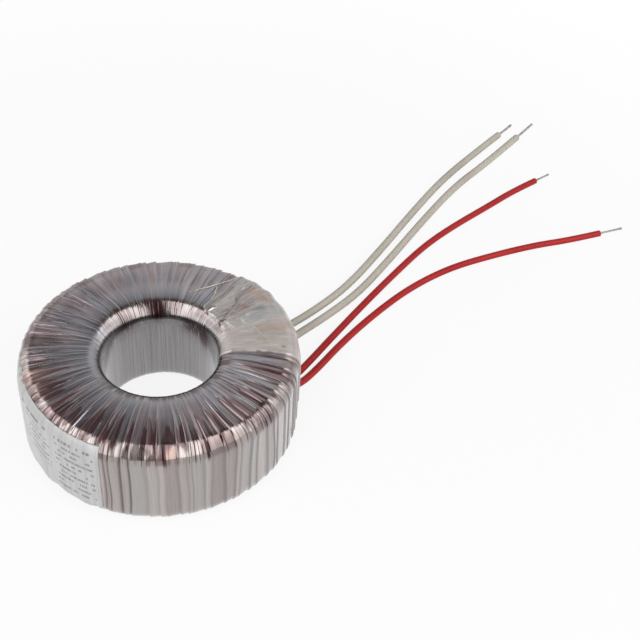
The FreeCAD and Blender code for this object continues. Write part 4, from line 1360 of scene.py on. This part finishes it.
def studio_world(sizes):
    """White all round for the eye, a backdrop and a dark ceiling for gloss, dim light for the rest."""
    world = bpy.data.worlds.new("studio")
    world.use_nodes = True
    graph = Graph(world.node_tree)
    graph.nodes.clear()

    def background(colour, strength):
        return graph.node("ShaderNodeBackground", i0=colour, i1=strength).outputs[0]

    way = graph.node("ShaderNodeTexCoord").outputs["Generated"]
    split = graph.node("ShaderNodeSeparateXYZ", i0=way).outputs[:]
    ceiling = graph.spanned(split[2], 0.55, 0.88, 1.0, sizes.gloom)
    behind = graph.spanned(split[1], -0.25, 0.1, 0.12, 1.0)
    foot = graph.spanned(split[2], 0.05, 0.5, 0.62, 1.0)
    backdrop = graph.times(graph.times(ceiling, foot), behind)
    panels = graph.times(gloss_panels(graph, split, sizes), sizes.panel_gloss)
    seen = graph.larger(backdrop, panels)
    path = graph.node("ShaderNodeLightPath").outputs
    gloss = graph.larger(path["Is Glossy Ray"], path["Is Transmission Ray"])
    white = (1.0, 1.0, 1.0, 1.0)
    around = graph.node("ShaderNodeMixShader", i0=gloss, i1=background(white, sizes.ambient),
                        i2=background(seen, 1.0)).outputs[0]
    final = graph.node("ShaderNodeMixShader", i0=path["Is Camera Ray"], i1=around,
                       i2=background(white, 1.0)).outputs[0]
    graph.node("ShaderNodeOutputWorld", i0=final)
    bpy.context.scene.world = world


def floor_finish(sizes):
    """Pale floor that keeps a soft shadow and fades to the white backdrop."""
    f = Finish("floor")
    f.set(base_color=(*sizes.floor, 1.0), roughness=0.9, specular_ior_level=0.1)
    away = f.node("ShaderNodeVectorMath", {"operation": "LENGTH"}, i0=f.coordinates()).outputs["Value"]
    share = f.spanned(away, 0.12, 0.36, 0.86, 1.0)
    path = f.node("ShaderNodeLightPath").outputs
    seen = f.larger(f.larger(path["Is Camera Ray"], path["Is Glossy Ray"]), path["Is Transmission Ray"])
    white = f.node("ShaderNodeEmission", Strength=1.0)
    blend = f.node("ShaderNodeMixShader", i0=f.times(share, seen), i1=f.shader.outputs[0],
                   i2=white.outputs[0])
    f.links.new(blend.outputs[0], f.nodes["Material Output"].inputs[0])
    return f.material


class TRANSFORMER_OT_stage(bpy.types.Operator):
    """Sets up the floor, the softboxes and the white surroundings"""
    bl_idname = "transformer.stage"
    bl_label = "Stage and light"

    def execute(self, context):
        sizes = context.scene.transformer_studio
        half, back, below = 1.4, 0.75, 0.02 * MM
        steps = np.linspace(-1, 1, 9) * half
        x, y = np.meshgrid(steps, steps + back, indexing="ij")
        floor = grid_mesh("floor", np.stack([x, y, 0 * x - below], -1))
        floor.data.materials.append(floor_finish(sizes))
        studio_world(sizes)
        lamp("softbox_left", azimuth=223, elevation=36, distance=0.9, width=0.74, height=0.90,
             radiance=sizes.lamp_radiance)
        lamp("softbox_right", azimuth=321, elevation=36, distance=0.9, width=0.70, height=0.90,
             radiance=sizes.lamp_radiance)
        context.scene.view_settings.view_transform = "Standard"
        return {"FINISHED"}


# ---------------------------------------------------------------- panel and registration
STEPS = (TRANSFORMER_OT_camera, TRANSFORMER_OT_leads, TRANSFORMER_OT_film_wrap, TRANSFORMER_OT_lead_patch,
         TRANSFORMER_OT_stray_fibres, TRANSFORMER_OT_label, TRANSFORMER_OT_inside, TRANSFORMER_OT_stage)


class TRANSFORMER_PT_panel(bpy.types.Panel):
    """Lists the steps that build the transformer"""
    bl_idname = "TRANSFORMER_PT_panel"
    bl_label = "Toroidal transformer"
    bl_space_type = "VIEW_3D"
    bl_region_type = "UI"
    bl_category = "Transformer"

    def draw(self, context):
        for step in STEPS:
            self.layout.operator(step.bl_idname)


SETTINGS = {
    "transformer_film": FilmSettings,
    "transformer_patch": PatchSettings,
    "transformer_label": LabelSettings,
    "transformer_leads": LeadSettings,
    "transformer_studio": StudioSettings,
}
CLASSES = (*SETTINGS.values(), *STEPS, TRANSFORMER_PT_panel)


def register():
    for cls in CLASSES:
        bpy.utils.register_class(cls)
    for name, group in SETTINGS.items():
        setattr(bpy.types.Scene, name, PointerProperty(type=group))


def unregister():
    for name in SETTINGS:
        delattr(bpy.types.Scene, name)
    for cls in reversed(CLASSES):
        bpy.utils.unregister_class(cls)


def main():
    register()
    bpy.ops.transformer.camera()
    bpy.ops.transformer.leads()
    bpy.ops.transformer.film_wrap()
    bpy.ops.transformer.lead_patch()
    bpy.ops.transformer.stray_fibres()
    bpy.ops.transformer.label()
    bpy.ops.transformer.inside()
    bpy.ops.transformer.stage()


if __name__ == "__main__":
    main()
